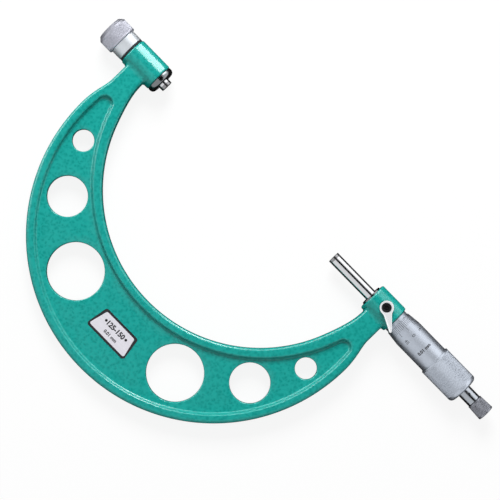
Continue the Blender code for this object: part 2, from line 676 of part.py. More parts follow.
def make_lock(lock_hole):
    """Lever with its hub, the socket screw it turns with, and the shoe that the screw presses down."""
    lever = flat_piece("lock_lever", lever_outline(), LEVER_LOW, LEVER_HIGH, LEVER_EDGE, BRIGHT)
    lever.rotation_euler.z = radians(LEVER_ANGLE)
    hub_low = SPOT_FACE_Z + GAP
    hub = cylinder_cutter("lever_hub", hub_low, LEVER_LOW + HUB_OVERLAP, LEVER_RING_R - HUB_STEP)
    combine(lever, on(LOCK_AXIS, hub), "UNION")
    combine(lever, lock_hole)
    seat = cylinder_cutter("lever_counterbore", LOCK_HEAD_LOW - GAP, LEVER_HIGH + CLEAR, LOCK_HEAD_R + GAP)
    combine(lever, on(LOCK_AXIS, seat))

    shank_low = SHOE_HIGH + GAP
    top, edge = LOCK_HEAD_HIGH, LOCK_HEAD_EDGE
    profile = [(top, 0), (top, LOCK_HEAD_R - edge), (top - edge, LOCK_HEAD_R), (LOCK_HEAD_LOW, LOCK_HEAD_R)]
    profile += [(LOCK_HEAD_LOW, LOCK_SCREW_R), (shank_low, LOCK_SCREW_R), (shank_low, 0)]
    screw = turned("lock_screw", profile, BLACK)
    socket_r = SOCKET_FLATS / 2 / cos(pi / 6)
    socket = cylinder_cutter("hex_socket", top - SOCKET_DEPTH, top + CLEAR, socket_r, 6)
    combine(screw, on(LOCK_AXIS, socket))

    shoe_low = ROD_R + GAP
    profile = [(SHOE_HIGH, 0), (SHOE_HIGH, LOCK_SCREW_R), (shoe_low, LOCK_SCREW_R), (shoe_low, 0)]
    shoe = turned("lock_shoe", profile, BRASS, COARSE)
    return lever, screw, shoe


def main():
    lock_hole = cylinder_cutter("lock_hole", LOCK_HOLE_LOW, LEVER_HIGH + CLEAR, LOCK_SCREW_R + GAP, COARSE)
    on(LOCK_AXIS, lock_hole)
    # A little turn keeps the hole's corners off the spokes of the faces that it goes through
    lock_hole.rotation_euler.z = pi / ROUND / 2
    frame = make_frame(lock_hole)
    make_plate(frame)
    for piece in make_anvil_group():
        on(MEASURING_AXIS, piece)
    for piece in (
        make_guide_sleeve(lock_hole),
        make_graduated_sleeve(),
        make_adjusting_nut(),
        make_spindle(),
        make_spindle_tip(),
        make_thimble(),
        make_ratchet_body(),
        make_ratchet_ring(),
        make_ratchet_spring(),
        make_ratchet_knob(),
        make_knob_screw(),
    ):
        on(MEASURING_AXIS, piece)
    for piece in make_lock(lock_hole):
        on(LOCK_AXIS, piece)


main()
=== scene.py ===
# %% [markdown]
# # Dressing an outside micrometer
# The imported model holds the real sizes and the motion. This lesson loads it as a fixed frame and
# gives each visible piece a finer surface and a worked finish: cast and enamelled frame, ground
# rods, knurled grips, cut graduations. Every new piece rides on the body of the solid it stands for.

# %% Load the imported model
from math import acos, atan2, cos, degrees, pi, radians, sin, sqrt, tan

import bmesh
import bpy
import numpy as np
from mathutils import Matrix, Vector
from mathutils.geometry import delaunay_2d_cdt


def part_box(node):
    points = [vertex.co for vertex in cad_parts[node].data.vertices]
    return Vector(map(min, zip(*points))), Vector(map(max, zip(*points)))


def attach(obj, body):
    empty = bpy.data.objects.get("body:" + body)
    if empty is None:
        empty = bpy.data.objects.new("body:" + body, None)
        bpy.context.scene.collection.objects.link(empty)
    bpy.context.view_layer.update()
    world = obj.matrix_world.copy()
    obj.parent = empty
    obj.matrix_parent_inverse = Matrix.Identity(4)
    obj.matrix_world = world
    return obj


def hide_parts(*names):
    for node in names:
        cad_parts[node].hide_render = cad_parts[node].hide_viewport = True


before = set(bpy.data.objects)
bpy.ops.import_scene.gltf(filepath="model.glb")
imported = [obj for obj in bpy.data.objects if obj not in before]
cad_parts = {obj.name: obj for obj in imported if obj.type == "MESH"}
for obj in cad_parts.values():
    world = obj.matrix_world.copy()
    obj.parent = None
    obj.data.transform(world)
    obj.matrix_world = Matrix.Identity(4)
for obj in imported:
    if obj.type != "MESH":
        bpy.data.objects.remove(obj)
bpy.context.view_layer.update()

MM = 0.001


# %% [markdown]
# ## Surfaces from arrays
# A grid of points becomes a mesh when each point is joined to its neighbours in the next row and
# column. One helper does that for every piece here, so a shape is only ever a formula for points.
# Rows or columns that meet themselves are closed by joining the last one to the first.

# %% A mesh from grids of points
def grid_faces(rows, columns, close_rows, close_columns):
    """Corner numbers of the quads of a grid: each point with its neighbours across, diagonal and below."""
    row = np.arange(rows if close_rows else rows - 1)[:, None]
    column = np.arange(columns if close_columns else columns - 1)[None, :]
    below, beside = (row + 1) % rows, (column + 1) % columns
    pairs = ((row, column), (row, beside), (below, beside), (below, column))
    corners = [down * columns + across for down, across in pairs]
    return np.stack(np.broadcast_arrays(*corners), -1).reshape(-1, 4)


def mesh_of(name, points, faces):
    """A mesh from points in millimetres, with coincident points merged and bare edges removed."""
    mesh = bpy.data.meshes.new(name)
    mesh.from_pydata((np.asarray(points, float) * MM).tolist(), [], [list(face) for face in faces])
    bm = bmesh.new()
    bm.from_mesh(mesh)
    bmesh.ops.remove_doubles(bm, verts=bm.verts, dist=2e-7)
    bmesh.ops.delete(bm, geom=[edge for edge in bm.edges if not edge.link_faces], context="EDGES")
    bm.to_mesh(mesh)
    bm.free()
    return mesh


def smooth(mesh, angle=32):
    """Smooth shading that stops at real corners."""
    mesh.shade_smooth()
    mesh.set_sharp_from_angle(angle=radians(angle))
    return mesh


# %% Put a finished piece on its body
def new_object(name, data):
    """An object of that data, linked to the scene."""
    obj = bpy.data.objects.new(name, data)
    bpy.context.scene.collection.objects.link(obj)
    return obj


def add_piece(mesh, material, body, nodes=()):
    """Shows the mesh, rides it on its body and hides the solids it stands for."""
    piece = new_object(mesh.name, mesh)
    mesh.materials.clear()
    mesh.materials.append(material)
    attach(piece, body)
    if nodes:
        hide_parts(*nodes)
    print(f"{piece.name}: {sum(len(face.vertices) - 2 for face in mesh.polygons)} triangles")
    return piece


# %% [markdown]
# ## Finishes
# Turned and ground metal is never plain: the tool leaves rings, the wheel leaves lines, fingers
# leave smears. Those effects are node groups, built once and placed in each metal with its own
# values, so that all the metals look as if they came from the same workshop.

# %% Small helpers for node trees
def feed(tree, socket, value):
    """Links an input where the value is another node's output, and otherwise sets it."""
    if isinstance(value, bpy.types.NodeSocket):
        tree.links.new(value, socket)
    else:
        socket.default_value = value


def put(tree, kind, inputs=None, **settings):
    """A new node with its plain settings; each of the inputs is given a value or what feeds it."""
    node = tree.nodes.new(f"ShaderNode{kind}")
    for key, value in settings.items():
        setattr(node, key, value)
    for label, value in (inputs or {}).items():
        feed(tree, node.inputs[label], value)
    return node


def new_group(name, inputs, outputs):
    """An empty shader group whose sockets are given as (name, kind, default)."""
    tree = bpy.data.node_groups.new(name, "ShaderNodeTree")
    for in_out, sockets in (("INPUT", inputs), ("OUTPUT", outputs)):
        for label, kind, default in sockets:
            socket = tree.interface.new_socket(label, in_out=in_out, socket_type=f"NodeSocket{kind}")
            if default is not None:
                socket.default_value = default
    return tree, tree.nodes.new("NodeGroupInput"), tree.nodes.new("NodeGroupOutput")


def use_group(tree, group, **values):
    """A node of that group; in a keyword, an underscore stands for a space in the input's name."""
    inputs = {label.replace("_", " "): value for label, value in values.items()}
    return put(tree, "Group", inputs, node_tree=group)


def math_node(tree, operation, first, second, clamp=False):
    """One arithmetic node; each operand is a socket or a number."""
    node = put(tree, "Math", {0: first, 1: second}, operation=operation, use_clamp=clamp)
    return node.outputs["Value"]


# %% Tool marks: rings left by turning and grinding
def make_tool_marks():
    """Streaks that run across one direction: noise read along it finely and across it coarsely.

    Along is the position in metres along the lathe axis, so every ring goes right round the piece.
    """
    inputs = (("Vector", "Vector", None), ("Along", "Float", 0.0), ("Rings per mm", "Float", 8.0))
    outputs = (("Height", "Float", None), ("Tone", "Float", None))
    tree, start, end = new_group("tool_marks", inputs, outputs)
    wobble = put(tree, "TexNoise", {"Scale": 90.0, "Detail": 2.0, "Vector": start.outputs["Vector"]})
    rings = math_node(tree, "MULTIPLY", start.outputs["Along"], 1 / MM)
    rings = math_node(tree, "MULTIPLY", rings, start.outputs["Rings per mm"])
    rings = math_node(tree, "ADD", rings, wobble.outputs["Fac"])
    grain = {"Scale": 1.0, "Detail": 3.0, "Roughness": 0.7, "W": rings}
    fine = put(tree, "TexNoise", grain, noise_dimensions="1D").outputs["Fac"]
    spread = put(tree, "MapRange", {"From Min": 0.3, "From Max": 0.7, "Value": fine})
    feed(tree, end.inputs["Height"], fine)
    feed(tree, end.inputs["Tone"], spread.outputs["Result"])
    return tree


# %% Handling: soft smears that dull a surface in patches
def make_handling():
    """Noise with much detail as a mask from 0, clean, to 1, dulled."""
    inputs = (("Vector", "Vector", None), ("Scale", "Float", 60.0))
    tree, start, end = new_group("handling", inputs, (("Mask", "Float", None),))
    smear = {"Detail": 5.0, "Distortion": 0.6}
    smear |= {label: start.outputs[label] for label in ("Vector", "Scale")}
    broad = put(tree, "TexNoise", smear)
    soft = put(tree, "MapRange", {"From Min": 0.35, "From Max": 0.7, "Value": broad.outputs["Fac"]})
    feed(tree, end.inputs["Mask"], soft.outputs["Result"])
    return tree


TOOL_MARKS = make_tool_marks()
HANDLING = make_handling()
print("finish groups:", TOOL_MARKS.name, HANDLING.name)


# %% What all the finishes share
def new_material(name, metallic=0.0):
    """A material, its tree, its shader and the place on the object in metres."""
    made = bpy.data.materials.new(name)
    made.use_nodes = True
    tree = made.node_tree
    shader = tree.nodes["Principled BSDF"]
    shader.inputs["Metallic"].default_value = metallic
    return made, tree, shader, put(tree, "TexCoord").outputs["Object"]


def ramp(tree, factor, *stops):
    """The colour for a factor, between two stops that are each a position and a colour."""
    node = put(tree, "ValToRGB", {"Fac": factor})
    for element, (position, colour) in zip(node.color_ramp.elements, stops):
        element.position, element.color = position, (*colour, 1.0)
    return node.outputs["Color"]


def dulled(tree, shader, where, scale, smear, roughness):
    """The shader's roughness: its own value where it is clean, and up to smear more where handled."""
    mask = use_group(tree, HANDLING, Vector=where, Scale=scale).outputs["Mask"]
    dull = math_node(tree, "MULTIPLY", mask, smear)
    feed(tree, shader.inputs["Roughness"], math_node(tree, "ADD", dull, roughness))


def bumped(tree, shader, height, strength, distance):
    """Bends the shader's normal by a height whose full range is the distance, in metres."""
    bump = put(tree, "Bump", {"Strength": strength, "Distance": distance, "Height": height})
    feed(tree, shader.inputs["Normal"], bump.outputs["Normal"])


# %% [markdown]
# ## The metals
# Chrome, ground steel, carbide and brass differ in colour, in how blurred their reflection is and
# in how deep the tool marks go. One function takes those values. The mask of the smears raises the
# roughness a little, and the marks feed a faint bump.

# %% One recipe for every turned or ground metal
MARK_DISTANCE = 0.05 * MM
SMEARS_PER_METRE, OIL_PER_METRE = 70.0, 400.0


def metal(name, colour, roughness, rings=8.0, depth=0.02, smear=0.08, axis="X", tone=0.08):
    """A metal worked along one axis. Roughness runs from its value up by smear; tone darkens the marks."""
    made, tree, shader, where = new_material(name, 1.0)
    split = put(tree, "SeparateXYZ", {"Vector": where})
    marks = use_group(tree, TOOL_MARKS, Vector=where, Along=split.outputs[axis], Rings_per_mm=rings)
    darker = [channel * (1 - tone) for channel in colour]
    tones = {"A": (*colour, 1.0), "B": (*darker, 1.0), "Factor": marks.outputs["Tone"]}
    paint = put(tree, "Mix", tones, data_type="RGBA")
    feed(tree, shader.inputs["Base Color"], paint.outputs["Result"])
    dulled(tree, shader, where, SMEARS_PER_METRE, smear, roughness)
    bumped(tree, shader, marks.outputs["Height"], depth, MARK_DISTANCE)
    return made


SATIN = metal("satin_chrome", (0.52, 0.565, 0.64), 0.4, rings=10, depth=0.25, smear=0.1, tone=0.12)
KNURLED = metal("knurled_chrome", (0.56, 0.57, 0.64), 0.5, rings=4, depth=0.1, smear=0.12, tone=0.1)
COLLAR_CHROME = metal("collar_chrome", (0.72, 0.76, 0.8), 0.48, depth=0.15, smear=0.1)
NECK_CHROME = metal("neck_chrome", (0.4, 0.43, 0.47), 0.16, depth=0.08, tone=0.1)
# Chrome darkened to paint the dark reflections of the anvil's nose ring and the guide's front end.
SHADED_CHROME = metal("dark_chrome", (0.2, 0.21, 0.22), 0.13, depth=0.08, smear=0.06, tone=0.1)
KNOB_CHROME = metal("knob_chrome", (0.3, 0.31, 0.35), 0.42, rings=4, depth=0.1, smear=0.1, tone=0.15)
LEVER_CHROME = metal("lever_chrome", (0.83, 0.84, 0.86), 0.09, rings=5, axis="Z", tone=0.03)
STEEL = metal("ground_steel", (0.66, 0.67, 0.69), 0.13, rings=12, depth=0.1, smear=0.05)
CARBIDE = metal("carbide", (0.3, 0.3, 0.31), 0.2, rings=14, depth=0.05, smear=0.04, tone=0.1)
BRASS = metal("turned_brass", (0.7, 0.5, 0.2), 0.28, depth=0.2, tone=0.1)
print("metals:", [made.name for made in bpy.data.materials if made.use_nodes][-10:])

# %% [markdown]
# ## Black oxide, filled lines and the plate
# The screws are blackened steel: dark, a little oily. The graduations are cut and filled with
# black lacquer, which is matt. The plate is brushed aluminium, so its grain runs one way, along X.

# %% Dark finishes
def dark(name, colour, roughness, metallic):
    """A dark finish whose gloss breaks up in patches."""
    made, tree, shader, where = new_material(name, metallic)
    shader.inputs["Base Color"].default_value = (*colour, 1.0)
    dulled(tree, shader, where, OIL_PER_METRE, 0.15, roughness)
    return made


BLACK_OXIDE = dark("black_oxide", (0.012, 0.012, 0.014), 0.28, 0.5)
LACQUER = dark("filled_lines", (0.015, 0.015, 0.018), 0.5, 0.0)

# %% Brushed aluminium of the plate
STREAKS_PER_METRE = (60.0, 9000.0, 60.0)
ALUMINIUM_TONES = ((0.7, 0.69, 0.76), (0.86, 0.85, 0.9))


def brushed_plate():
    """Aluminium with fine streaks along X: noise squeezed across the streaks and stretched along them."""
    made, tree, shader, where = new_material("brushed_aluminium", 0.25)
    stretch = put(tree, "Mapping", {"Scale": STREAKS_PER_METRE, "Vector": where})
    noise = put(tree, "TexNoise", {"Scale": 1.0, "Detail": 3.0, "Vector": stretch.outputs["Vector"]})
    streaks = noise.outputs["Fac"]
    colours = ramp(tree, streaks, (0.3, ALUMINIUM_TONES[0]), (0.75, ALUMINIUM_TONES[1]))
    feed(tree, shader.inputs["Base Color"], colours)
    rough = math_node(tree, "MULTIPLY", streaks, 0.2)
    feed(tree, shader.inputs["Roughness"], math_node(tree, "ADD", rough, 0.25))
    bumped(tree, shader, streaks, 0.15, MARK_DISTANCE)
    return made


PLATE_METAL = brushed_plate()

# %% [markdown]
# ## Hammered enamel
# The casting is sprayed with a green enamel that pulls into small dimples as it dries. The dimples
# are cells about a millimetre and a half across, softened, in the bump; the paint is a touch darker
# in the middle of each one.

# %% Green enamel of the frame
ENAMEL_TONES = ((0.004, 0.28, 0.245), (0.012, 0.365, 0.322))
ENAMEL_SPECULAR = 0.3
DIMPLES_PER_METRE, DIMPLE_DEPTH = 620.0, 0.2 * MM
BENDS_PER_METRE, BEND_SHIFT = 260.0, 3 * MM


def green_enamel():
    """Paint whose cells, from smooth Voronoi distances bent by noise, drive colour and bump together."""
    made, tree, shader, where = new_material("green_enamel")
    shader.inputs["Specular IOR Level"].default_value = ENAMEL_SPECULAR
    bent = put(tree, "TexNoise", {"Scale": BENDS_PER_METRE, "Detail": 2.0, "Vector": where})
    sum_of = {0: bent.outputs["Color"], 1: (BEND_SHIFT, BEND_SHIFT, BEND_SHIFT), 2: where}
    shift = put(tree, "VectorMath", sum_of, operation="MULTIPLY_ADD")
    cell = {"Scale": DIMPLES_PER_METRE, "Smoothness": 0.8, "Vector": shift.outputs["Vector"]}
    distance = put(tree, "TexVoronoi", cell, feature="SMOOTH_F1").outputs["Distance"]
    colours = ramp(tree, distance, (0.15, ENAMEL_TONES[0]), (0.6, ENAMEL_TONES[1]))
    feed(tree, shader.inputs["Base Color"], colours)
    dulled(tree, shader, where, 45.0, 0.1, 0.16)
    bumped(tree, shader, distance, 0.14, DIMPLE_DEPTH)
    return made


ENAMEL = green_enamel()
print("enamel:", ENAMEL.name)

# %% [markdown]
# ## Turned pieces
# Most of a micrometer comes off a lathe. Its section is drawn as a closed outline of (x, radius)
# corners, each corner gets a small arc, since a real edge is always broken, and the outline is
# carried round the measuring axis.

# %% Rounding the corners of a section
def soften(corners, steps=5):
    """A closed section with its corners rounded.

    Each corner is (x, r, radius). An arc that touches both sides replaces it: its ends lie radius /
    tan(half the corner) away, and the points between them are turned evenly about its centre.
    """
    corners = np.array(corners, float)
    share = np.linspace(0, 1, steps + 1)[:, None]
    points = []
    for before, here, after in zip(np.roll(corners, 1, 0), corners, np.roll(corners, -1, 0)):
        back, ahead = before[:2] - here[:2], after[:2] - here[:2]
        back, ahead = back / np.linalg.norm(back), ahead / np.linalg.norm(ahead)
        half = acos(np.clip(back @ ahead, -1, 1)) / 2
        if here[2] == 0:
            points.append(here[None, :2])
            continue
        middle = (back + ahead) / np.linalg.norm(back + ahead)
        centre = here[:2] + middle * here[2] / sin(half)
        start, end = here[:2] + back * here[2] / tan(half), here[:2] + ahead * here[2] / tan(half)
        turn = pi - 2 * half
        fan = np.sin((1 - share) * turn) * (start - centre) + np.sin(share * turn) * (end - centre)
        points.append(centre + fan / sin(turn))
    return np.concatenate(points)


def densify(section, low, high, step):
    """Adds evenly spaced points to the long sides of a section that lie between two places along X."""
    pieces = []
    for here, after in zip(section, np.roll(section, -1, 0)):
        inside = low - 1e-6 <= min(here[0], after[0]) and max(here[0], after[0]) <= high + 1e-6
        outside_wall = min(here[1], after[1]) > section[:, 1].max() * 0.7
        count = max(1, round(abs(after[0] - here[0]) / step)) if inside and outside_wall else 1
        pieces.append(here + (after - here) * np.arange(count)[:, None] / count)
    return np.concatenate(pieces)


# %% Carrying a section round the axis
COLUMNS = 144


def turned(name, section, columns=COLUMNS, relief=None):
    """A closed surface of revolution about the measuring axis.

    Point (i, j) is (x_i, r cos a_j, r sin a_j), where r is the section's radius r_i plus relief(x, a, r).
    A section that runs clockwise in the (x, r) plane has its faces outside, so it is turned that way.
    """
    following = np.roll(section, -1, 0)
    area = (section[:, 0] * following[:, 1] - following[:, 0] * section[:, 1]).sum()
    if area > 0:
        section = section[::-1]
    angle = np.linspace(0, 2 * pi, columns, endpoint=False)[None, :]
    along, radius = section[:, :1], section[:, 1:]
    radius = np.broadcast_to(radius, (len(section), columns))
    if relief:
        radius = radius + relief(along, angle, radius)
    along = np.broadcast_to(along, radius.shape)
    points = np.stack([along, radius * np.cos(angle), radius * np.sin(angle)], -1)
    faces = grid_faces(len(section), columns, True, True)
    return smooth(mesh_of(name, points.reshape(-1, 3), faces))


# %% [markdown]
# ## The measuring rods
# Spindle and anvil are 6.5 mm rods, hardened, ground and lapped, each with a disc of carbide
# brazed on its face. The joint shows as a hair line, so a gap of a tenth stays between them.

# %% Spindle, anvil and their carbide faces
ROD_R = 3.25
TIP = 1.5
GAP = 0.1
SPINDLE_FACE = 125.0


def rod_tip(name, face, direction):
    """A disc whose outer edge is broken; direction is 1 where the rod lies towards +X."""
    back = face + direction * TIP
    corners = [(face, 0, 0), (face, ROD_R, 0.2), (back, ROD_R, 0.05), (back, 0, 0)]
    return turned(name, soften(corners), 96)


add_piece(rod_tip("anvil_face_disc", 0.0, -1), CARBIDE, "anvil", ["anvil_tip"])
add_piece(rod_tip("spindle_face_disc", SPINDLE_FACE, 1), CARBIDE, "spindle_tip", ["spindle_tip"])

ANVIL_FRONT, ANVIL_SEAT, ANVIL_FLANGE, FLANGE_R = -TIP - GAP, -36.1, -40.0, 4.9
anvil_rod = [(ANVIL_FRONT, 0, 0), (ANVIL_FRONT, ROD_R, 0.05), (ANVIL_SEAT, ROD_R, 0.1)]
anvil_rod += [(ANVIL_SEAT, FLANGE_R, 0.15), (ANVIL_FLANGE, FLANGE_R, 0.3), (ANVIL_FLANGE, 0, 0)]
add_piece(turned("anvil_rod", soften(anvil_rod), 96), STEEL, "anvil", ["anvil"])

SPINDLE_FRONT = SPINDLE_FACE + TIP + GAP
THREAD = (166.3, 209.0, 3.7)
UNDERCUT_R = 3.1
CONE = (212.4, 218.8, 3.4, 2.7)
STUD_HOLE_X, STUD_HOLE_R = 213.2, 1.6
spindle_rod = [(SPINDLE_FRONT, 0, 0), (SPINDLE_FRONT, ROD_R, 0.05), (THREAD[0] - 0.4, ROD_R, 0)]
spindle_rod += [(THREAD[0], THREAD[2], 0), (THREAD[1], THREAD[2], 0.2), (THREAD[1], UNDERCUT_R, 0.2)]
spindle_rod += [(CONE[0], UNDERCUT_R, 0.1), (CONE[0], CONE[2], 0.1), (CONE[1], CONE[3], 0.1)]
spindle_rod += [(CONE[1], STUD_HOLE_R, 0.1), (STUD_HOLE_X, STUD_HOLE_R, 0), (STUD_HOLE_X, 0, 0)]
add_piece(turned("spindle_rod", soften(spindle_rod), 96), STEEL, "thimble", ["spindle"])

# %% [markdown]
# ## Anvil clamp
# The anvil slides in a sleeve through the boss. A polished ring closes the front, its chrome darkened
# to paint the dark reflection it shows; a smooth collar closes the back, and a knurled nut on the
# sleeve's thread clamps the anvil's flange. The thread shows once the nut is unscrewed, so it is a
# real helix: the radius falls and rises with x less the angle.

# %% Sleeve with its thread, front ring
SLEEVE_END, STUB_R, THREAD_PITCH, THREAD_DEPTH = -39.5, 6.4, 0.75, 0.3
COLLAR = (-33.5, -27.4, 7.6)
ROD_BORE_R, FRAME_BORE_FIT_R = 3.35, 5.9
SEAT_X, SEAT_R = SLEEVE_END + 3.5, 5.0
GROOVE_FLOOR_R, GROOVE_END, SHANK_END, FRONT_END, FRONT_R = 6.9, -26.3, -6.3, -3.4, 5.0
anvil_sleeve = [(FRONT_END, ROD_BORE_R, 0.1), (SEAT_X, ROD_BORE_R, 0), (SEAT_X, SEAT_R, 0)]
anvil_sleeve += [(SLEEVE_END, SEAT_R, 0.15), (SLEEVE_END, STUB_R, 0.2), (COLLAR[0], STUB_R, 0)]
anvil_sleeve += [(COLLAR[0], COLLAR[2], 0.35), (COLLAR[1], COLLAR[2], 0.35), (COLLAR[1], GROOVE_FLOOR_R, 0)]
anvil_sleeve += [(GROOVE_END, GROOVE_FLOOR_R, 0), (GROOVE_END, FRAME_BORE_FIT_R, 0)]
anvil_sleeve += [(SHANK_END, FRAME_BORE_FIT_R, 0), (SHANK_END, FRONT_R, 0), (FRONT_END, FRONT_R, 0)]


def stub_thread(x, angle, radius):
    """A helix: the depth is a triangle wave of x / pitch less the turn, and fades out at both ends."""
    phase = (x / THREAD_PITCH - angle / (2 * pi)) % 1
    flank = np.abs(2 * phase - 1) * THREAD_DEPTH
    fade = np.clip((x - SLEEVE_END - 0.3) / 0.4, 0, 1) * np.clip((COLLAR[0] - 0.5 - x) / 0.4, 0, 1)
    return np.where(np.abs(radius - STUB_R) < 0.05, -flank * fade, 0.0)


section = densify(soften(anvil_sleeve), SLEEVE_END, COLLAR[0], THREAD_PITCH / 8)
sleeve_mesh = turned("anvil_clamp_sleeve", section, relief=stub_thread)
add_piece(sleeve_mesh, COLLAR_CHROME, "frame", ["anvil_sleeve"])

# A black ring in the groove between collar and boss: painted shade, where the groove lies in shadow.
groove = [(-27.35, 6.95, 0), (-27.35, 7.5, 0.1), (-26.25, 7.5, 0.1), (-26.25, 6.95, 0)]
add_piece(turned("groove_seal", soften(groove)), LACQUER, "frame")

ring = [(-6.1, 5.1, 0.1), (-6.1, 7.8, 0.2), (-2.8, 7.8, 2.2), (-2.8, 5.1, 0.3)]
ring_mesh = turned("anvil_nose_ring", soften(ring, 8))
add_piece(ring_mesh, SHADED_CHROME, "frame", ["anvil_front_ring"])

# %% [markdown]
# ## Knurling
# Two sets of crossing helical grooves leave small pyramids that fingers can hold. Let u and w be
# the angle in teeth plus and minus the way along; each groove is a triangle wave of its phase, and
# the lower of the two is the surface. Rows and columns fall on sixths of a tooth, so that every
# pyramid is cut alike.

# %% A diamond knurl
SAMPLES = 6


def diamond_knurl(low, high, radius, teeth, depth, lean=30.0):
    """The relief of a diamond knurl between two places, and the row spacing that fits it."""
    per_mm = teeth * tan(radians(lean)) / (2 * pi * radius)

    def relief(x, angle, r):
        around, along = teeth * angle / (2 * pi), (x - low) * per_mm
        waves = [1 - np.abs(2 * ((around + side * along) % 1) - 1) for side in (-1, 1)]
        height = np.minimum(1, 1.35 * np.minimum(*waves))
        fade = np.clip((x - low) / 0.35, 0, 1) * np.clip((high - x) / 0.35, 0, 1)
        return np.where(r > radius * 0.8, -depth * (1 - height) * fade, 0.0)

    return relief, 1 / (SAMPLES * per_mm)


# %% Clamp nut
NUT = (-43.2, -33.6, 8.7)
NUT_TEETH = 64
NUT_HOLE_R, NUT_BORE_R, NUT_FLOOR = 2.2, 6.5, -40.1
nut = [(NUT[0], NUT_HOLE_R, 0.2), (NUT[0], 6.9, 0.5), (NUT[0] + 2.0, NUT[2], 0.7), (NUT[1], NUT[2], 0.4)]
nut += [(NUT[1], NUT_BORE_R, 0.1), (NUT_FLOOR, NUT_BORE_R, 0), (NUT_FLOOR, NUT_HOLE_R, 0.1)]
relief, step = diamond_knurl(NUT[0] + 2.6, NUT[1] - 0.7, NUT[2], NUT_TEETH, 0.24)
section = densify(soften(nut), NUT[0] + 2.2, NUT[1] - 0.4, step)
nut_mesh = turned("anvil_clamp_nut", section, NUT_TEETH * SAMPLES, relief)
add_piece(nut_mesh, KNURLED, "clamp_nut", ["clamp_nut"])

# %% [markdown]
# ## Measuring head
# The inner sleeve guides the spindle and carries the outer one, which has the millimetre scale.
# The thimble is one turned shell: a bevel with fifty divisions, a plain barrel, and a raised
# knurled grip with a rounded end.

# %% Inner and outer sleeve
GUIDE = (153.0, 200.4, 208.0)
guide = [(GUIDE[0], ROD_BORE_R, 0.1), (GUIDE[0], FRAME_BORE_FIT_R, 0.3), (GUIDE[1], FRAME_BORE_FIT_R, 0.1)]
guide += [(GUIDE[1], 5.1, 0), (GUIDE[2], 5.1, 0.1), (GUIDE[2], 3.8, 0.1), (190.0, 3.8, 0), (190.0, 4.1, 0)]
guide += [(164.5, 4.1, 0), (164.5, ROD_BORE_R, 0)]
# The guide's front end shows at the head's boss; its chrome is darkened to paint a dark reflection there.
add_piece(turned("spindle_guide", soften(guide)), SHADED_CHROME, "frame", ["guide_sleeve"])

SLEEVE, SLEEVE_BORE_R = (171.3, 200.0, 6.9), 6.0
sleeve = [(SLEEVE[0], SLEEVE_BORE_R, 0), (SLEEVE[0], SLEEVE[2], 0.15), (SLEEVE[1], SLEEVE[2], 0.2)]
sleeve += [(SLEEVE[1], SLEEVE_BORE_R, 0)]
add_piece(turned("scale_sleeve", soften(sleeve), 192), SATIN, "frame", ["graduated_sleeve"])

# %% Thimble
EDGE_X, BEVEL_X, EDGE_R, BARREL_R = 173.6, 181.0, 7.3, 8.2
GRIP = (200.8, 222.8, 9.0)
GRIP_TEETH = 66
THIMBLE_BORE_R, THIMBLE_FLOOR = 7.05, 212.0
thimble = [(EDGE_X, THIMBLE_BORE_R, 0.03), (EDGE_X, EDGE_R, 0.06), (BEVEL_X, BARREL_R, 0.6)]
thimble += [(GRIP[0] - 0.8, BARREL_R, 0.1), (GRIP[0], BARREL_R + 0.35, 0.05), (GRIP[0], GRIP[2], 0.15)]
thimble += [(GRIP[1], GRIP[2], 2.0), (GRIP[1], 2.8, 0.15), (218.9, 2.8, 0), (212.4, 3.5, 0)]
thimble += [(THIMBLE_FLOOR, 3.5, 0.1), (THIMBLE_FLOOR, THIMBLE_BORE_R, 0.3)]
relief, step = diamond_knurl(GRIP[0] + 0.6, GRIP[1] - 2.3, GRIP[2], GRIP_TEETH, 0.2)
section = densify(soften(thimble, 7), GRIP[0] + 0.1, GRIP[1] - 1.9, step)
thimble_mesh = turned("knurled_thimble", section, GRIP_TEETH * SAMPLES, relief)
add_piece(thimble_mesh, SATIN, "thimble", ["thimble"])

# %% [markdown]
# ## Ratchet stop
# The neck is screwed into the thimble with a pin spanner, so it has a small cross hole. The knob
# at the end is knurled and slips over its teeth once the measuring force is reached.

# %% Cutting one surface with another
def evaluated_mesh(obj):
    """The object's mesh with its modifiers, or the outline of its text, as a new mesh."""
    bpy.context.view_layer.update()
    return bpy.data.meshes.new_from_object(obj.evaluated_get(bpy.context.evaluated_depsgraph_get()))


def cut(mesh, cutter, operation="DIFFERENCE"):
    """The mesh less the cutter's mesh, by an exact Boolean, as a new mesh of the same name."""
    pair = [new_object(part.name, part) for part in (mesh, cutter)]
    boolean = pair[0].modifiers.new("cut", "BOOLEAN")
    boolean.operation, boolean.object = operation, pair[1]
    made = evaluated_mesh(pair[0])
    bm = bmesh.new()
    bm.from_mesh(made)
    bmesh.ops.remove_doubles(bm, verts=bm.verts, dist=1e-6)
    bmesh.ops.dissolve_degenerate(bm, dist=1e-6, edges=bm.edges)
    bm.to_mesh(made)
    bm.free()
    name = mesh.name
    for obj in pair:
        data = obj.data
        bpy.data.objects.remove(obj)
        bpy.data.meshes.remove(data)
    made.name = name
    return made


def plug(name, low, high, radius, centre, columns=64, tilt=0.0):
    """A plain cylinder along Z about a centre, leaned by tilt degrees towards +Y, to cut holes with."""
    angle = np.linspace(0, 2 * pi, columns, endpoint=False)
    heights, radii = np.array([low, low, high, high]), np.array([0, radius, radius, 0])
    rims = radii[:, None] * np.cos(angle), radii[:, None] * np.sin(angle)
    flat = np.stack(np.broadcast_arrays(*rims, heights[:, None]), -1)
    lean = radians(tilt)
    y = flat[..., 1] * cos(lean) + flat[..., 2] * sin(lean)
    z = flat[..., 2] * cos(lean) - flat[..., 1] * sin(lean)
    points = np.stack([flat[..., 0] + centre[0], y + centre[1], z], -1)
    return mesh_of(name, points.reshape(-1, 3), grid_faces(4, columns, False, True))


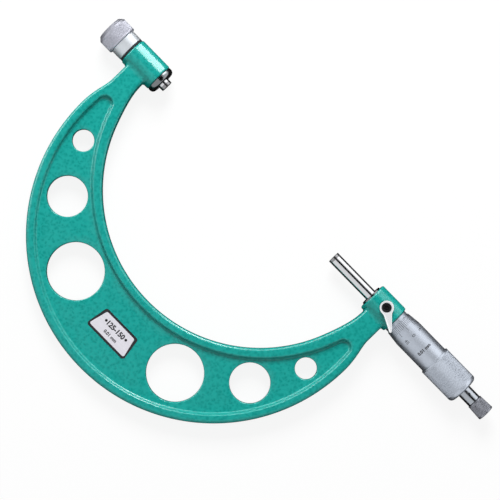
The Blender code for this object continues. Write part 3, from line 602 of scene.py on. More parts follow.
# %% Neck, knob and its screw
NECK = (222.9, 230.8, 3.9)
neck = [(NECK[0], 2.7, 0), (NECK[0], NECK[2], 0.2), (NECK[1], NECK[2], 0.25), (NECK[1], 2.75, 0.1)]
neck += [(226.9, 2.75, 0), (226.9, 1.1, 0), (221.0, 1.1, 0), (221.0, 0, 0), (213.6, 0, 0)]
neck += [(213.6, 1.5, 0.1), (219.0, 1.5, 0), (219.0, 2.7, 0)]
spanner_hole = plug("spanner_hole", 2.6, 5.0, 0.8, (225.9, 0), tilt=9.0)
neck_mesh = cut(turned("ratchet_neck", soften(neck), 128), spanner_hole)
add_piece(smooth(neck_mesh), NECK_CHROME, "thimble", ["ratchet_body"])

KNOB = (230.95, 239.8, 4.3, 4.75)
KNOB_TEETH = 34
knob = [(KNOB[0], 2.85, 0.1), (KNOB[0], KNOB[2], 0.3), (KNOB[1], KNOB[3], 0.5), (KNOB[1], 2.2, 0.15)]
knob += [(237.0, 2.2, 0), (237.0, 1.15, 0), (233.0, 1.15, 0), (233.0, 2.85, 0)]
relief, step = diamond_knurl(KNOB[0] + 0.6, KNOB[1] - 0.8, KNOB[2], KNOB_TEETH, 0.2)
section = densify(soften(knob), KNOB[0] + 0.2, KNOB[1] - 0.4, step)
knob_mesh = turned("knurled_knob", section, KNOB_TEETH * SAMPLES, relief)
add_piece(knob_mesh, KNOB_CHROME, "ratchet_knob", ["ratchet_knob"])

# %% [markdown]
# ## The cast frame
# The frame is a crescent of two thick rims round a thinner web. Its outline and the pocket's
# outline are both closed lines, so everything between them is one profile carried round: up the
# side, over the rounded edge, across the rim, over the pocket's lip, down its wall and through the
# fillet to the web. Both lines are read at matching points, so the rows join them without twisting.

# %% Lines in the plane of the frame
MID_X = 73.1
RIM_HALF, WEB_HALF, EDGE_ROUND, EDGE_WIDE = 5.3, 2.8, 1.5, 1.9
OUTER_Y, OUTER_R = -37.1, 98.4
INNER_Y, INNER_R, INNER_START = -3.0, 82.9, 20.5
ARM_OUT, ARM_IN = MID_X - 95.8, MID_X - 83.3
ARM_TOP_Y, FLARE = -3.0, 1.5
FLARE_Y = -9.5


def arc_line(centre, radius, start, end, spacing=0.5):
    """Points on a circle from one angle to the other, in degrees, about spacing apart."""
    count = max(3, round(abs(radians(end - start)) * radius / spacing))
    angle = np.radians(np.linspace(start, end, count))
    return np.column_stack([centre[0] + radius * np.cos(angle), centre[1] + radius * np.sin(angle)])


def bezier_line(a, b, c, d, count=40):
    """A cubic curve: the four points weighted by the terms of (1 - t + t) cubed."""
    t = np.linspace(0, 1, count)[:, None]
    weights = ((1 - t) ** 3, 3 * t * (1 - t) ** 2, 3 * t * t * (1 - t), t**3)
    return sum(weight * np.array(point) for weight, point in zip(weights, (a, b, c, d)))


def evenly(line, count):
    """The same line with count points at equal distances, the last one left out."""
    length = np.concatenate([[0], np.cumsum(np.linalg.norm(np.diff(line, axis=0), axis=1))])
    at = np.linspace(0, length[-1], count, endpoint=False)
    return np.column_stack([np.interp(at, length, line[:, axis]) for axis in (0, 1)])


def inset(loop, distance):
    """A closed line moved to its left by a distance, each point along the normal of its neighbours' chord."""
    chord = np.roll(loop, -1, 0) - np.roll(loop, 1, 0)
    left = np.column_stack([-chord[:, 1], chord[:, 0]])
    return loop + distance * left / np.linalg.norm(left, axis=1)[:, None]


def at_heights(rows):
    """Rows of points in space, from pairs of a flat line and its height."""
    return np.stack([np.column_stack([line, np.full(len(line), z)]) for line, z in rows])


# %% [markdown]
# Both outlines are drawn as left halves only, from the arm down to the middle of the bow, and are
# mirrored. Each half has two parts, the arm and the long arc, and each part gets the same number of
# points in the outline as in the pocket. So the points of the arm's end face the pocket's end cap.

# %% Closing a line from its halves
ARM_POINTS, INSIDE_POINTS, OUTSIDE_POINTS = 90, 70, 90


def closed_line(inside, outside):
    """Anticlockwise: along the inside from the right arm to the left, and back round the outside."""
    sides = []
    for (arm, arc), count in ((inside, INSIDE_POINTS), (outside, OUTSIDE_POINTS)):
        half = np.concatenate([evenly(arm, ARM_POINTS), evenly(arc, count), arc[-1:]])
        sides.append(np.concatenate([half, (half * (-1, 1) + (2 * MID_X, 0))[-2::-1]]))
    return np.concatenate([sides[0][:0:-1], sides[1][:-1]])


def part_at(line, centre, angle):
    """The line in two parts, cut where its bearing from a centre passes an angle in degrees."""
    bearing = np.degrees(np.arctan2(*(line - centre).T[::-1])) % 360
    place = int(np.argmax(bearing > angle))
    return line[: place + 1], line[place:]


# %% Outline of the pocket, which thins the crescent to a web
POCKET_OUTER_R, POCKET_INNER_Y, POCKET_INNER_R, POCKET_END_R = 93.6, -0.5, 89.9, 4.0
LIP, FILLET, DRAFT = 1.15, 1.3, 0.12


def pocket_lines():
    """Inner and outer arc, each with half of the end cap, and the bearings at which cap and arcs touch.

    The cap's circle touches both arcs, which fixes the distances from its centre to theirs.
    """
    far, near = POCKET_INNER_R + POCKET_END_R, POCKET_OUTER_R - POCKET_END_R
    y = (far**2 - near**2 - POCKET_INNER_Y**2 + OUTER_Y**2) / (2 * (OUTER_Y - POCKET_INNER_Y))
    x = MID_X - sqrt(far**2 - (y - POCKET_INNER_Y) ** 2)
    to_inner = degrees(atan2(y - POCKET_INNER_Y, x - MID_X)) % 360
    to_outer = degrees(atan2(y - OUTER_Y, x - MID_X)) % 360
    tip = (to_inner - 180 + to_outer) / 2
    inside = (
        arc_line((x, y), POCKET_END_R, tip, to_inner - 180, 0.1),
        arc_line((MID_X, POCKET_INNER_Y), POCKET_INNER_R, to_inner, 270),
    )
    outside = (
        arc_line((x, y), POCKET_END_R, tip, to_outer, 0.1),
        arc_line((MID_X, OUTER_Y), POCKET_OUTER_R, to_outer, 270),
    )
    return inside, outside, to_inner, to_outer


# %% Outline of the frame
ARM_CORNER = 2.0


def frame_lines(to_inner, to_outer):
    """Inside and outside of the crescent and its arm, cut at the bearings where the pocket's cap ends."""
    arm_middle = np.array([[(ARM_OUT + ARM_IN) / 2, ARM_TOP_Y]])
    bend = radians(INNER_START)
    inner = arc_line((MID_X, INNER_Y), INNER_R, 180 + INNER_START, 270)
    start = inner[0]
    straight = (ARM_IN, FLARE_Y - 7)
    rise = bezier_line((ARM_IN, FLARE_Y), straight, start + 7 * np.array([-sin(bend), cos(bend)]), start)
    corner = arc_line((ARM_IN - ARM_CORNER, ARM_TOP_Y - ARM_CORNER), ARM_CORNER, 90, 0, 0.2)
    inside = np.concatenate([arm_middle, corner, rise[:-1], inner])
    side_x = MID_X - OUTER_R
    shoulder = bezier_line((ARM_OUT, -18), (ARM_OUT, -22.5), (side_x, -28), (side_x, OUTER_Y))
    corner = arc_line((ARM_OUT + ARM_CORNER, ARM_TOP_Y - ARM_CORNER), ARM_CORNER, 90, 180, 0.2)
    bow = arc_line((MID_X, OUTER_Y), OUTER_R, 180, 270)
    outside = np.concatenate([arm_middle, corner, shoulder[:-1], bow])
    return part_at(inside, (MID_X, POCKET_INNER_Y), to_inner), part_at(outside, (MID_X, OUTER_Y), to_outer)


pocket_inside, pocket_outside, *bearings = pocket_lines()
POCKET = closed_line(pocket_inside, pocket_outside)
OUTLINE = closed_line(*frame_lines(*bearings))
print("points round the frame and its pocket:", len(OUTLINE), len(POCKET))

# %% [markdown]
# The bosses are cylinders across the arms. Where an arm meets one, the moulder leaves a soft
# hollow, so the arm's top is raised by a smooth maximum of its own height and the cylinder's. The
# arm's side follows the cylinder's underside in the same way.

# %% The arms' blend into the bosses
BOSSES = ((-26.2, -6.2, 8.0), (153.9, 171.2, 8.2))
BLEND, SINK, DIVE_Y, DIVE = 1.6, 0.05, -5.0, 0.25


def smooth_step(value):
    value = np.clip(value, 0, 1)
    return value * value * (3 - 2 * value)


def widen_arms(points):
    """Flares the arms' sides into the bosses: half width plus R less the root of R^2 less height^2."""
    x, y = points[..., 0], points[..., 1]
    height = np.clip(y - FLARE_Y, 0, FLARE)
    grown = FLARE - np.sqrt(FLARE**2 - height**2)
    half, middle = (ARM_IN - ARM_OUT) / 2, MID_X - (ARM_IN + ARM_OUT) / 2
    centre = np.where(x < MID_X, MID_X - middle, MID_X + middle)
    arm = (np.abs(x - centre) < half + 1) & (y > FLARE_Y)
    x = np.where(arm, centre + (x - centre) * (1 + grown / half), x)
    return np.stack([x, y, points[..., 2]], -1)


def blend_arms(points):
    """Raises the arms' ends to the bosses: height times smooth maximum(rim, cylinder) / rim.

    The cylinder is taken a little small, and smaller further in, so that the arm ends inside the boss.

    The smooth maximum of a and b is the larger one plus h^2 k / 4, where h is how far |a - b| falls
    short of the width k, over k.
    """
    points = widen_arms(points)
    for low, high, radius in BOSSES:
        x, y, z = points[..., 0], points[..., 1], points[..., 2]
        near = (x > low - 3) & (x < high + 3) & (y > -16)
        tuck = radius - np.sqrt(radius**2 - np.minimum(np.abs(z), RIM_HALF) ** 2)
        y = np.where(near, y + tuck * smooth_step((y + 14) / 4.5), y)
        cylinder = np.sqrt(np.clip(radius**2 - y**2, 0, None)) - SINK - DIVE * np.clip(y - DIVE_Y, 0, None)
        gap = np.clip(BLEND - np.abs(cylinder - RIM_HALF), 0, None) / BLEND
        top = np.maximum(cylinder, RIM_HALF) + gap**2 * BLEND / 4
        z = np.where(near, z * top / RIM_HALF, z)
        points = np.stack([x, y, z], -1)
    return points


# %% One face of the casting, from its middle plane to the web
RIM_ROWS, CROWDING = 20, 1.5


def quarter(count):
    """Sine and one less the cosine of the angles of a quarter turn."""
    angle = np.linspace(0, pi / 2, count)
    return np.sin(angle), 1 - np.cos(angle)


def rim_rows():
    """The rows of one face; they crowd towards the outline, where the arms meet the bosses."""
    sine, fall = quarter(7)
    rows = [(OUTLINE, 0.0)]
    side = RIM_HALF - EDGE_ROUND
    rows += [(inset(OUTLINE, EDGE_WIDE * f), side + EDGE_ROUND * s) for s, f in zip(sine, fall)]
    start, end = rows[-1][0], inset(POCKET, -LIP)
    shares = np.linspace(0, 1, RIM_ROWS)[1:-1] ** CROWDING
    rows += [(start + (end - start) * share, RIM_HALF) for share in shares]
    rows += [(inset(POCKET, -LIP * (1 - s)), RIM_HALF - LIP * f) for s, f in zip(sine, fall)]
    floor_edge = WEB_HALF + FILLET
    rows += [(inset(POCKET, DRAFT + FILLET * f), floor_edge - FILLET * s) for s, f in zip(sine, fall)]
    return at_heights(rows)


# %% Web with its holes and the recess for the plate
HOLES = ((37.3, -102.0, 15.3), (68.5, -77.6, 10.8), (83.6, -51.2, 5.8))
HOLE_ROUND, HOLE_COLUMNS = 0.6, 112
PLATE_X, PLATE_TOP, PLATE_LOW = 72.8, -104.8, -115.6
PLATE_HALF_TOP, PLATE_HALF_LOW, PLATE_CORNER, PLATE_MARGIN = 10.4, 12.6, 1.0, 1.25
RECESS_Z = 2.2


def plate_loop(grow, steps=10):
    """The plate's trapezoid, widened by grow, with rounded corners."""
    top, low = PLATE_TOP + grow, PLATE_LOW - grow
    half_top, half_low, corner = PLATE_HALF_TOP + grow, PLATE_HALF_LOW + grow, PLATE_CORNER + grow / 2
    corners = [(-half_top, top), (-half_low, low), (half_low, low), (half_top, top)]
    return soften([(PLATE_X + x, y, corner) for x, y in corners], steps)


def within(points, loop):
    """Whether each point is inside the loop: a ray from it crosses the loop an odd number of times."""
    here, after = loop[None], np.roll(loop, -1, 0)[None]
    x, y = points[:, None, 0], points[:, None, 1]
    spans = (here[..., 1] > y) != (after[..., 1] > y)
    run, rise = after[..., 0] - here[..., 0], after[..., 1] - here[..., 1]
    with np.errstate(divide="ignore", invalid="ignore"):
        cross_x = here[..., 0] + (y - here[..., 1]) * run / rise
    return (spans & (x < cross_x)).sum(1) % 2 == 1


def flat_fill(boundary, openings, z, up, spacing=4.0):
    """Triangles of a plane region inside one loop and outside others, with a grid of points in it."""
    loops = [boundary, *openings]
    low, high = boundary.min(0), boundary.max(0)
    steps = [np.arange(a + spacing / 2, b, spacing) for a, b in zip(low, high)]
    grid = np.stack(np.meshgrid(*steps), -1).reshape(-1, 2)
    keep = within(grid, boundary)
    for loop in loops:
        keep &= np.linalg.norm(grid[:, None] - loop[None], axis=2).min(1) > spacing / 3
    points, edges = np.concatenate([*loops, grid[keep]]), []
    first = 0
    for loop in loops:
        number = np.arange(len(loop))
        edges += np.column_stack([first + number, first + (number + 1) % len(loop)]).tolist()
        first += len(loop)
    flat, _, faces, *_ = delaunay_2d_cdt([Vector(point) for point in points], edges, [], 0, 1e-7)
    flat, faces = np.array(flat), np.array(faces)
    middle = flat[faces].mean(1)
    inside = within(middle, boundary)
    for loop in openings:
        inside &= ~within(middle, loop)
    a, b, c = (flat[faces[:, corner]] for corner in range(3))
    turned_up = ((b - a)[:, 0] * (c - a)[:, 1] - (b - a)[:, 1] * (c - a)[:, 0]) > 0
    faces = np.where((turned_up == up)[:, None], faces, faces[:, ::-1])
    return np.column_stack([flat, np.full(len(flat), z)]), faces[inside]


def circle(centre, radius):
    angle = np.linspace(0, 2 * pi, HOLE_COLUMNS, endpoint=False)
    return np.column_stack([centre[0] + radius * np.cos(angle), centre[1] + radius * np.sin(angle)])


def hole_rows(centre, radius):
    """The wall of a hole from the top face to the bottom one, both edges rounded outwards."""
    sine, fall = quarter(5)
    spread = np.concatenate([HOLE_ROUND * (1 - sine), HOLE_ROUND * fall])
    height = np.concatenate([WEB_HALF - HOLE_ROUND * fall, HOLE_ROUND * (1 - sine) - WEB_HALF])
    return at_heights([(circle(centre, radius + s), z) for s, z in zip(spread, height)])


# %% Put the casting together
class Patchwork:
    """Collects grids and fills as one list of points and faces."""

    def __init__(self):
        self.points, self.faces, self.count = [], [], 0

    def add(self, points, faces):
        self.points.append(points.reshape(-1, 3))
        self.faces += (np.asarray(faces) + self.count).tolist()
        self.count += len(self.points[-1])

    def grid(self, rows):
        self.add(rows, grid_faces(len(rows), rows.shape[1], False, True))

    def mesh(self, name):
        return mesh_of(name, np.concatenate(self.points), self.faces)


def casting_body():
    """Crescent, arms, web and holes, before the bosses are joined to it."""
    work = Patchwork()
    top = rim_rows()
    bottom = top[:0:-1] * (1, 1, -1)
    whole = blend_arms(np.concatenate([bottom, top]))
    work.grid(whole)
    web_edge = top[-1, :, :2]
    openings = []
    for offset, y, radius in HOLES:
        for side in (-1, 1):
            centre = (MID_X + side * offset, y)
            work.grid(hole_rows(centre, radius))
            openings.append(circle(centre, radius + HOLE_ROUND))
    recess = plate_loop(PLATE_MARGIN)
    work.add(*flat_fill(web_edge, [*openings, recess], WEB_HALF, True))
    work.add(*flat_fill(web_edge, openings, -WEB_HALF, False))
    work.grid(at_heights([(recess, WEB_HALF), (recess, RECESS_Z)]))
    work.add(*flat_fill(recess, [], RECESS_Z, True))
    return work.mesh("frame_casting")


def boss_mesh(low, high, radius):
    """A round bar with broken edges, with rings a millimetre apart."""
    section = soften([(low, 0, 0), (low, radius, 0.9), (high, radius, 0.9), (high, 0, 0)])
    return turned("boss", densify(section, low, high, 1.0), 160)


BORE_R, SPOT_Z, SPOT_R, LOCK_HOLE_R = 6.0, 7.8, 4.1, 1.6
LOCK = (163.1, 1.2)


def make_casting():
    """The body joined to both bosses, then bored, spot-faced and drilled like the real casting."""
    mesh = casting_body()
    for boss in BOSSES:
        mesh = cut(mesh, boss_mesh(*boss), "UNION")
    low, high = BOSSES[0][0] - 1, BOSSES[1][1] + 1
    bore = soften([(low, 0, 0), (low, BORE_R, 0), (high, BORE_R, 0), (high, 0, 0)])
    mesh = cut(mesh, turned("line_bore", bore))
    mesh = cut(mesh, plug("spot_face", SPOT_Z, SPOT_Z + 4, SPOT_R, LOCK))
    return cut(mesh, plug("lock_hole", 2.0, SPOT_Z + 4, LOCK_HOLE_R, LOCK))


casting = smooth(make_casting(), 38)
add_piece(casting, ENAMEL, "frame", ["frame"])

# %% [markdown]
# ## Lock lever
# The lever is a forged drop: a ring round the lock screw and a slim tail for the thumb. Seen from
# the ring's middle its edge is at one distance in each direction, so the outline is a function of
# the angle, and all its rows, from the hub to the counterbore, can share the same angles.

# %% Outline of the lever
LEVER_RING_R, LEVER_TIP_R, LEVER_REACH, LEVER_ANGLE = 3.8, 0.75, 12.55, -35.8
LEVER_SLOPE, LEVER_BLEND = 9.43, 1.0


def lever_loop(count=240):
    """The distance at each angle is the smooth maximum of the ring's radius and the tail's reach.

    The tail's side is the line that touches the tip's circle at the slope, so its reach is
    (c sin s + r) / sin(angle + s); in front of that point the reach is the tip's circle itself.
    """
    slope = radians(LEVER_SLOPE)
    angle = np.concatenate([np.linspace(0, 0.3, 500), np.linspace(0.3, pi, 500)[1:]])
    side = (LEVER_REACH * sin(slope) + LEVER_TIP_R) / np.sin(np.clip(angle + slope, 0, pi / 2))
    across = np.clip(LEVER_TIP_R**2 - (LEVER_REACH * np.sin(angle)) ** 2, 0, None)
    tip = LEVER_REACH * np.cos(angle) + np.sqrt(across)
    touch = atan2(LEVER_TIP_R * cos(slope), LEVER_REACH + LEVER_TIP_R * sin(slope))
    tail = np.where(angle < touch, tip, side)
    gap = np.clip(LEVER_BLEND - np.abs(tail - LEVER_RING_R), 0, None) / LEVER_BLEND
    reach = np.maximum(tail, LEVER_RING_R) + gap**2 * LEVER_BLEND / 4
    half = np.column_stack([reach * np.cos(angle), reach * np.sin(angle)])
    return evenly(np.concatenate([half, (half * (1, -1))[-2::-1]]), count)


# %% Lever with its hub, bore and counterbore
HUB = (7.9, 3.65, 1.6)
LEVER_Z, LEVER_EDGE, BROKEN_EDGE = (8.55, 10.5), 0.4, 0.15
COUNTERBORE = (9.0, 2.65)


def lever_mesh():
    """A closed grid of rows: hub, underside, rounded edge, side, rounded edge, top, counterbore, bore."""
    loop = lever_loop()
    way = loop / np.linalg.norm(loop, axis=1)[:, None]
    sine, fall = quarter(5)
    hub_low, hub_radius, bore_radius = HUB
    rows = [(way * bore_radius, hub_low), (way * (hub_radius - BROKEN_EDGE), hub_low)]
    rows += [(way * hub_radius, hub_low + BROKEN_EDGE), (way * hub_radius, LEVER_Z[0])]
    rows += [(inset(loop, LEVER_EDGE * (1 - s)), LEVER_Z[0] + LEVER_EDGE * f) for s, f in zip(sine, fall)]
    rows += [(inset(loop, LEVER_EDGE * f), LEVER_Z[1] - LEVER_EDGE * (1 - s)) for s, f in zip(sine, fall)]
    low, radius = COUNTERBORE
    rows += [(way * (radius + BROKEN_EDGE), LEVER_Z[1]), (way * radius, LEVER_Z[1] - BROKEN_EDGE)]
    rows += [(way * radius, low), (way * bore_radius, low)]
    turn = radians(LEVER_ANGLE)
    matrix = np.array([(cos(turn), sin(turn)), (-sin(turn), cos(turn))])
    points = at_heights([(flat @ matrix + LOCK, z) for flat, z in rows])
    faces = grid_faces(len(rows), len(loop), True, True)
    return smooth(mesh_of("drop_lever", points.reshape(-1, 3), faces))


add_piece(lever_mesh(), LEVER_CHROME, "lock_lever", ["lock_lever"])

# %% [markdown]
# ## Screws and pins
# They are turned like the other round pieces and then stood up along Z. The lock screw gets its
# hexagonal socket and the knob's screw its slot from the same Boolean that drilled the casting.

# %% Lock screw and plate pins
def stand_up(mesh, place):
    """Turns a piece made along X so that it stands along Z, at a place in the plane."""
    x, y = (value * MM for value in place)
    mesh.transform(Matrix(((0, 1, 0, x), (0, 0, 1, y), (1, 0, 0, 0), (0, 0, 0, 1))))
    return mesh


SCREW_HEAD, SCREW_SHANK, SOCKET = (9.1, 10.3, 2.55), (4.25, 1.5), (9.2, 2.5)
(shank_low, shank_r), (head_low, head_high, head_r) = SCREW_SHANK, SCREW_HEAD
screw = [(shank_low, 0, 0), (shank_low, shank_r, 0.1), (head_low, shank_r, 0), (head_low, head_r, 0.05)]
screw += [(head_high, head_r, 0.35), (head_high, 1.65, 0.05)]
screw += [(head_high - 0.25, 1.4, 0), (head_high - 0.25, 0, 0)]
screw_mesh = stand_up(turned("socket_screw", soften(screw), 96), LOCK)
socket = plug("hex_socket", SOCKET[0], SCREW_HEAD[1] + 1, SOCKET[1] / 2 / cos(pi / 6), LOCK, 6)
add_piece(smooth(cut(screw_mesh, socket)), BLACK_OXIDE, "lock_lever", ["lock_screw"])

PIN_LOW, PIN_HIGH, PIN_R, PIN_OFFSET, PIN_Y = 1.0, 2.95, 0.65, 7.3, -108.4
pin = [(PIN_LOW, 0, 0), (PIN_LOW, PIN_R, 0), (PIN_HIGH, PIN_R, 0.3), (PIN_HIGH + 0.1, 0, 0)]
for side, sign in (("left", -1), ("right", 1)):
    mesh = stand_up(turned(f"round_pin_{side}", soften(pin), 40), (PLATE_X + sign * PIN_OFFSET, PIN_Y))
    add_piece(mesh, BLACK_OXIDE, "frame", [f"plate_pin_{side}"])

# %% Black band that darkens the gap of the recess round the plate
RECESS_BAND_LOW, RECESS_BAND_HIGH = 2.25, 2.6


def loop_tube(name, outer, inner, low, high):
    """A flat closed band between two loops with the same number of points."""
    rows = at_heights([(outer, low), (outer, high), (inner, high), (inner, low)])
    return mesh_of(name, rows.reshape(-1, 3), grid_faces(4, len(outer), True, True))


recess_band = loop_tube("plate_bead", plate_loop(PLATE_MARGIN - 0.03), plate_loop(0.05), RECESS_BAND_LOW, RECESS_BAND_HIGH)
add_piece(smooth(recess_band), LACQUER, "frame")

# %% Slotted screw in the knob
HEAD_X, HEAD_R, KNOB_SCREW_R, KNOB_SCREW_END = (237.15, 238.7), 2.1, 1.0, 221.3
SLOT_HALF, SLOT_DEPTH = 0.3, 0.6


def block(name, low, high):
    """A box between two corners, as a grid of two rows of four points with its ends closed."""
    (a, b, c), (d, e, f) = low, high
    points = [(x, y, z) for x in (a, d) for y, z in ((b, c), (e, c), (e, f), (b, f))]
    faces = [*grid_faces(2, 4, False, True).tolist(), (3, 2, 1, 0), (4, 5, 6, 7)]
    return mesh_of(name, points, faces)


knob_screw = [(KNOB_SCREW_END, 0, 0), (KNOB_SCREW_END, KNOB_SCREW_R, 0.1), (HEAD_X[0], KNOB_SCREW_R, 0)]
knob_screw += [(HEAD_X[0], HEAD_R, 0.05), (HEAD_X[1], HEAD_R, 0.4), (HEAD_X[1], 0, 0)]
slot = block("driver_slot", (HEAD_X[1] - SLOT_DEPTH, -SLOT_HALF, -3), (HEAD_X[1] + 1, SLOT_HALF, 3))
slotted = cut(turned("slotted_screw", soften(knob_screw), 64), slot)
add_piece(smooth(slotted), STEEL, "thimble", ["knob_screw"])

# %% Finish of the solids that show as they are
SHOWN_SOLIDS = {"scale_plate": PLATE_METAL, "adjusting_nut": BRASS, "lock_shoe": BRASS}
SHOWN_SOLIDS |= {"ratchet_ring": STEEL, "ratchet_spring": STEEL}
for node, material in SHOWN_SOLIDS.items():
    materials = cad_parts[node].data.materials
    materials.clear()
    materials.append(material)

# %% [markdown]
# ## Graduations
# The lines are cut and filled with lacquer, so they lie almost flush. Each one starts as a flat
# figure in (x, s), gets a top and a bottom, and is then bent: s becomes an arc of the cylinder or
# cone. Angles are counted from the side that faces the reader, upwards. Fifty divisions of the
# thimble make one turn, half a millimetre of travel.

# %% From a flat figure to a thin solid on a surface
MARK_HIGH, MARK_DEEP, MARK_STEP = 0.015, 0.05, 0.3


def bend(radius_at, angle=0.0):
    """The map (x, s, h) to (x, (r + h) sin a, (r + h) cos a), where a is the angle plus s / r."""

    def surface(points):
        x, s, h = points.T
        r = radius_at(x)
        a = radians(angle) + s / r
        return np.column_stack([x, (r + h) * np.sin(a), (r + h) * np.cos(a)])

    return surface


def inlay(work, flat, faces, surface):
    """Closes a flat figure of triangles: its top, its bottom turned over, and a wall along each open edge."""
    edges = {edge for face in faces for edge in zip(face, (*face[1:], face[0]))}
    rim = sorted(edge for edge in edges if edge[::-1] not in edges)
    count = len(flat)
    below = [tuple(corner + count for corner in face[::-1]) for face in faces]
    walls = [wall for a, b in rim for wall in ((b, a, a + count), (b, a + count, b + count))]
    layers = [np.column_stack([flat, np.full(count, height)]) for height in (MARK_HIGH, -MARK_DEEP)]
    work.add(surface(np.concatenate(layers)), [*faces, *below, *walls])


def bar(low, high):
    """An upright rectangle as triangles, in steps along s so that it can bend."""
    rows = max(2, int((high[1] - low[1]) / MARK_STEP) + 2)
    s, x = np.meshgrid(np.linspace(low[1], high[1], rows), (low[0], high[0]), indexing="ij")
    quads = grid_faces(rows, 2, False, False).tolist()
    faces = [part for a, b, c, d in quads for part in ((a, b, c), (a, c, d))]
    return np.column_stack([x.ravel(), s.ravel()]), faces


# %% Figures of the built-in font
def figures(label, height, place, around=False, bold=0.0):
    """A number as flat triangles centred on a place, cut across at every step so that it can bend.

    It reads along X, or else round the surface. Bold moves the outline outwards, in millimetres.
    """
    curve = bpy.data.curves.new("figures", "FONT")
    curve.body, curve.size, curve.resolution_u, curve.offset = label, height / 0.69, 4, bold
    obj = new_object("figures", curve)
    outline = evaluated_mesh(obj)
    bpy.data.objects.remove(obj)
    bm = bmesh.new()
    bm.from_mesh(outline)
    bpy.data.meshes.remove(outline)
    bmesh.ops.remove_doubles(bm, verts=bm.verts, dist=1e-4)
    if around:
        bmesh.ops.rotate(bm, verts=bm.verts, cent=(0, 0, 0), matrix=Matrix.Rotation(pi / 2, 3, "Z"))
    for level in np.arange(MARK_STEP, max(vert.co.y for vert in bm.verts), MARK_STEP):
        whole = [*bm.verts, *bm.edges, *bm.faces]
        bmesh.ops.bisect_plane(bm, geom=whole, plane_co=(0, level, 0), plane_no=(0, 1, 0), dist=1e-4)
    bmesh.ops.triangulate(bm, faces=bm.faces)
    bm.verts.index_update()
    flat = np.array([vert.co[:2] for vert in bm.verts])
    faces = [tuple(vert.index for vert in face.verts) for face in bm.faces]
    bm.free()
    return flat - (flat.min(0) + flat.max(0)) / 2 + place, faces


# %% Thimble: fifty divisions on the bevel, each fifth one longer and numbered
READING_ANGLE, DIVISIONS = 9.0, 50
DIVISION_X, FIFTH_X, NUMBER_X, LINE_HALF = 177.4, 179.8, 183.4, 0.09


def thimble_radius(x):
    return np.interp(x, (EDGE_X, BEVEL_X), (EDGE_R, BARREL_R))


work = Patchwork()
for division in range(DIVISIONS):
    surface = bend(thimble_radius, READING_ANGLE + 360 * division / DIVISIONS)
    end = DIVISION_X if division % 5 else FIFTH_X
    inlay(work, *bar((EDGE_X + 0.1, -LINE_HALF), (end, LINE_HALF)), surface)
    if division % 5 == 0:
        inlay(work, *figures(str(division), 1.9, (NUMBER_X, 0)), surface)
inlay(work, *figures("0.01 mm", 1.7, (192.4, 0), around=True, bold=0.1), bend(thimble_radius))
add_piece(work.mesh("thimble_graduation"), LACQUER, "thimble")

# %% Sleeve: the reading line, millimetres above it and half millimetres below
TRAVEL = 25


def sleeve_radius(x):
    return np.full(np.shape(x), SLEEVE[2])


work, surface = Patchwork(), bend(sleeve_radius, READING_ANGLE)
inlay(work, *bar((SLEEVE[0] + 0.3, -0.06), (EDGE_X + TRAVEL + 1, 0.06)), surface)
for step in range(2 * TRAVEL + 1):
    x, whole = EDGE_X + step / 2, step % 2 == 0
    length = 1.7 if step % 10 == 0 else 1.1
    low, high = (0.07, length) if whole else (-1.1, -0.07)
    inlay(work, *bar((x - 0.06, low), (x + 0.06, high)), surface)
    if step % 10 == 0:
        inlay(work, *figures(str(step // 2), 1.5, (x, 2.9)), surface)
add_piece(work.mesh("sleeve_graduation"), LACQUER, "frame")

# %% Plate: the measuring range between the pins, the reading below
def plate_surface(points):
    return points + (0, 0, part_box("scale_plate")[1][2] / MM)


work = Patchwork()
inlay(work, *figures("125-150", 2.6, (PLATE_X, PIN_Y), bold=0.16), plate_surface)
inlay(work, *figures("0.01 mm", 1.7, (PLATE_X, -112.7), bold=0.09), plate_surface)
add_piece(work.mesh("plate_figures"), LACQUER, "frame")

# %% [markdown]
# ## Camera, light and floor
# The tool lies on its back on a white table, and the camera looks straight down on it from 1.2 m,
# turned so that the measuring axis runs from the upper left to the lower right.

# %% Camera
AXIS_ON_SCREEN = radians(45.68)
VIEW_CENTRE = (0.09175, -0.02876)
VIEW_WIDTH, CAMERA_HEIGHT, SENSOR = 0.26273, 1.2, 36.0
camera = new_object("camera", bpy.data.cameras.new("camera"))
camera.data.sensor_width = SENSOR
camera.data.lens = SENSOR * CAMERA_HEIGHT / VIEW_WIDTH
camera.location = (*VIEW_CENTRE, CAMERA_HEIGHT)
camera.rotation_euler = (0, 0, AXIS_ON_SCREEN)
bpy.context.scene.camera = camera
print("lens in mm:", round(camera.data.lens, 1))

# %% Floor: the plane that the grip, the clamp nut and the bow of the frame rest on
CONTACTS = ((212.0, 0.0, -9.0), (-37.0, 0.0, -8.7), (73.1, -135.5, -5.3))
FLOOR_SIZE = 3.0


def floor_mesh(name, lift=0.0):
    """A large square in the plane z = a + b x + c y through the three contacts, or a little above it."""
    x, y, z = np.array(CONTACTS).T * MM
    a, b, c = np.linalg.solve(np.stack([np.ones(3), x, y], 1), z)
    corner = np.array([(-1, -1), (1, -1), (1, 1), (-1, 1)]) * FLOOR_SIZE / 2
    points = np.column_stack([corner, a + corner @ (b, c) + lift * MM]) / MM
    return mesh_of(name, points, [(0, 1, 2, 3)])


def seen(tree):
    """1 for the camera's own rays and for what shows in metal or glass, 0 for rays that carry light."""
    rays = put(tree, "LightPath")
    total = math_node(tree, "ADD", rays.outputs["Is Camera Ray"], rays.outputs["Is Glossy Ray"], clamp=True)
    return math_node(tree, "ADD", total, rays.outputs["Is Transmission Ray"], clamp=True)


TABLE_GLOW, TABLE_GREY, TABLE_WHITE = 0.88, 0.4, 0.95


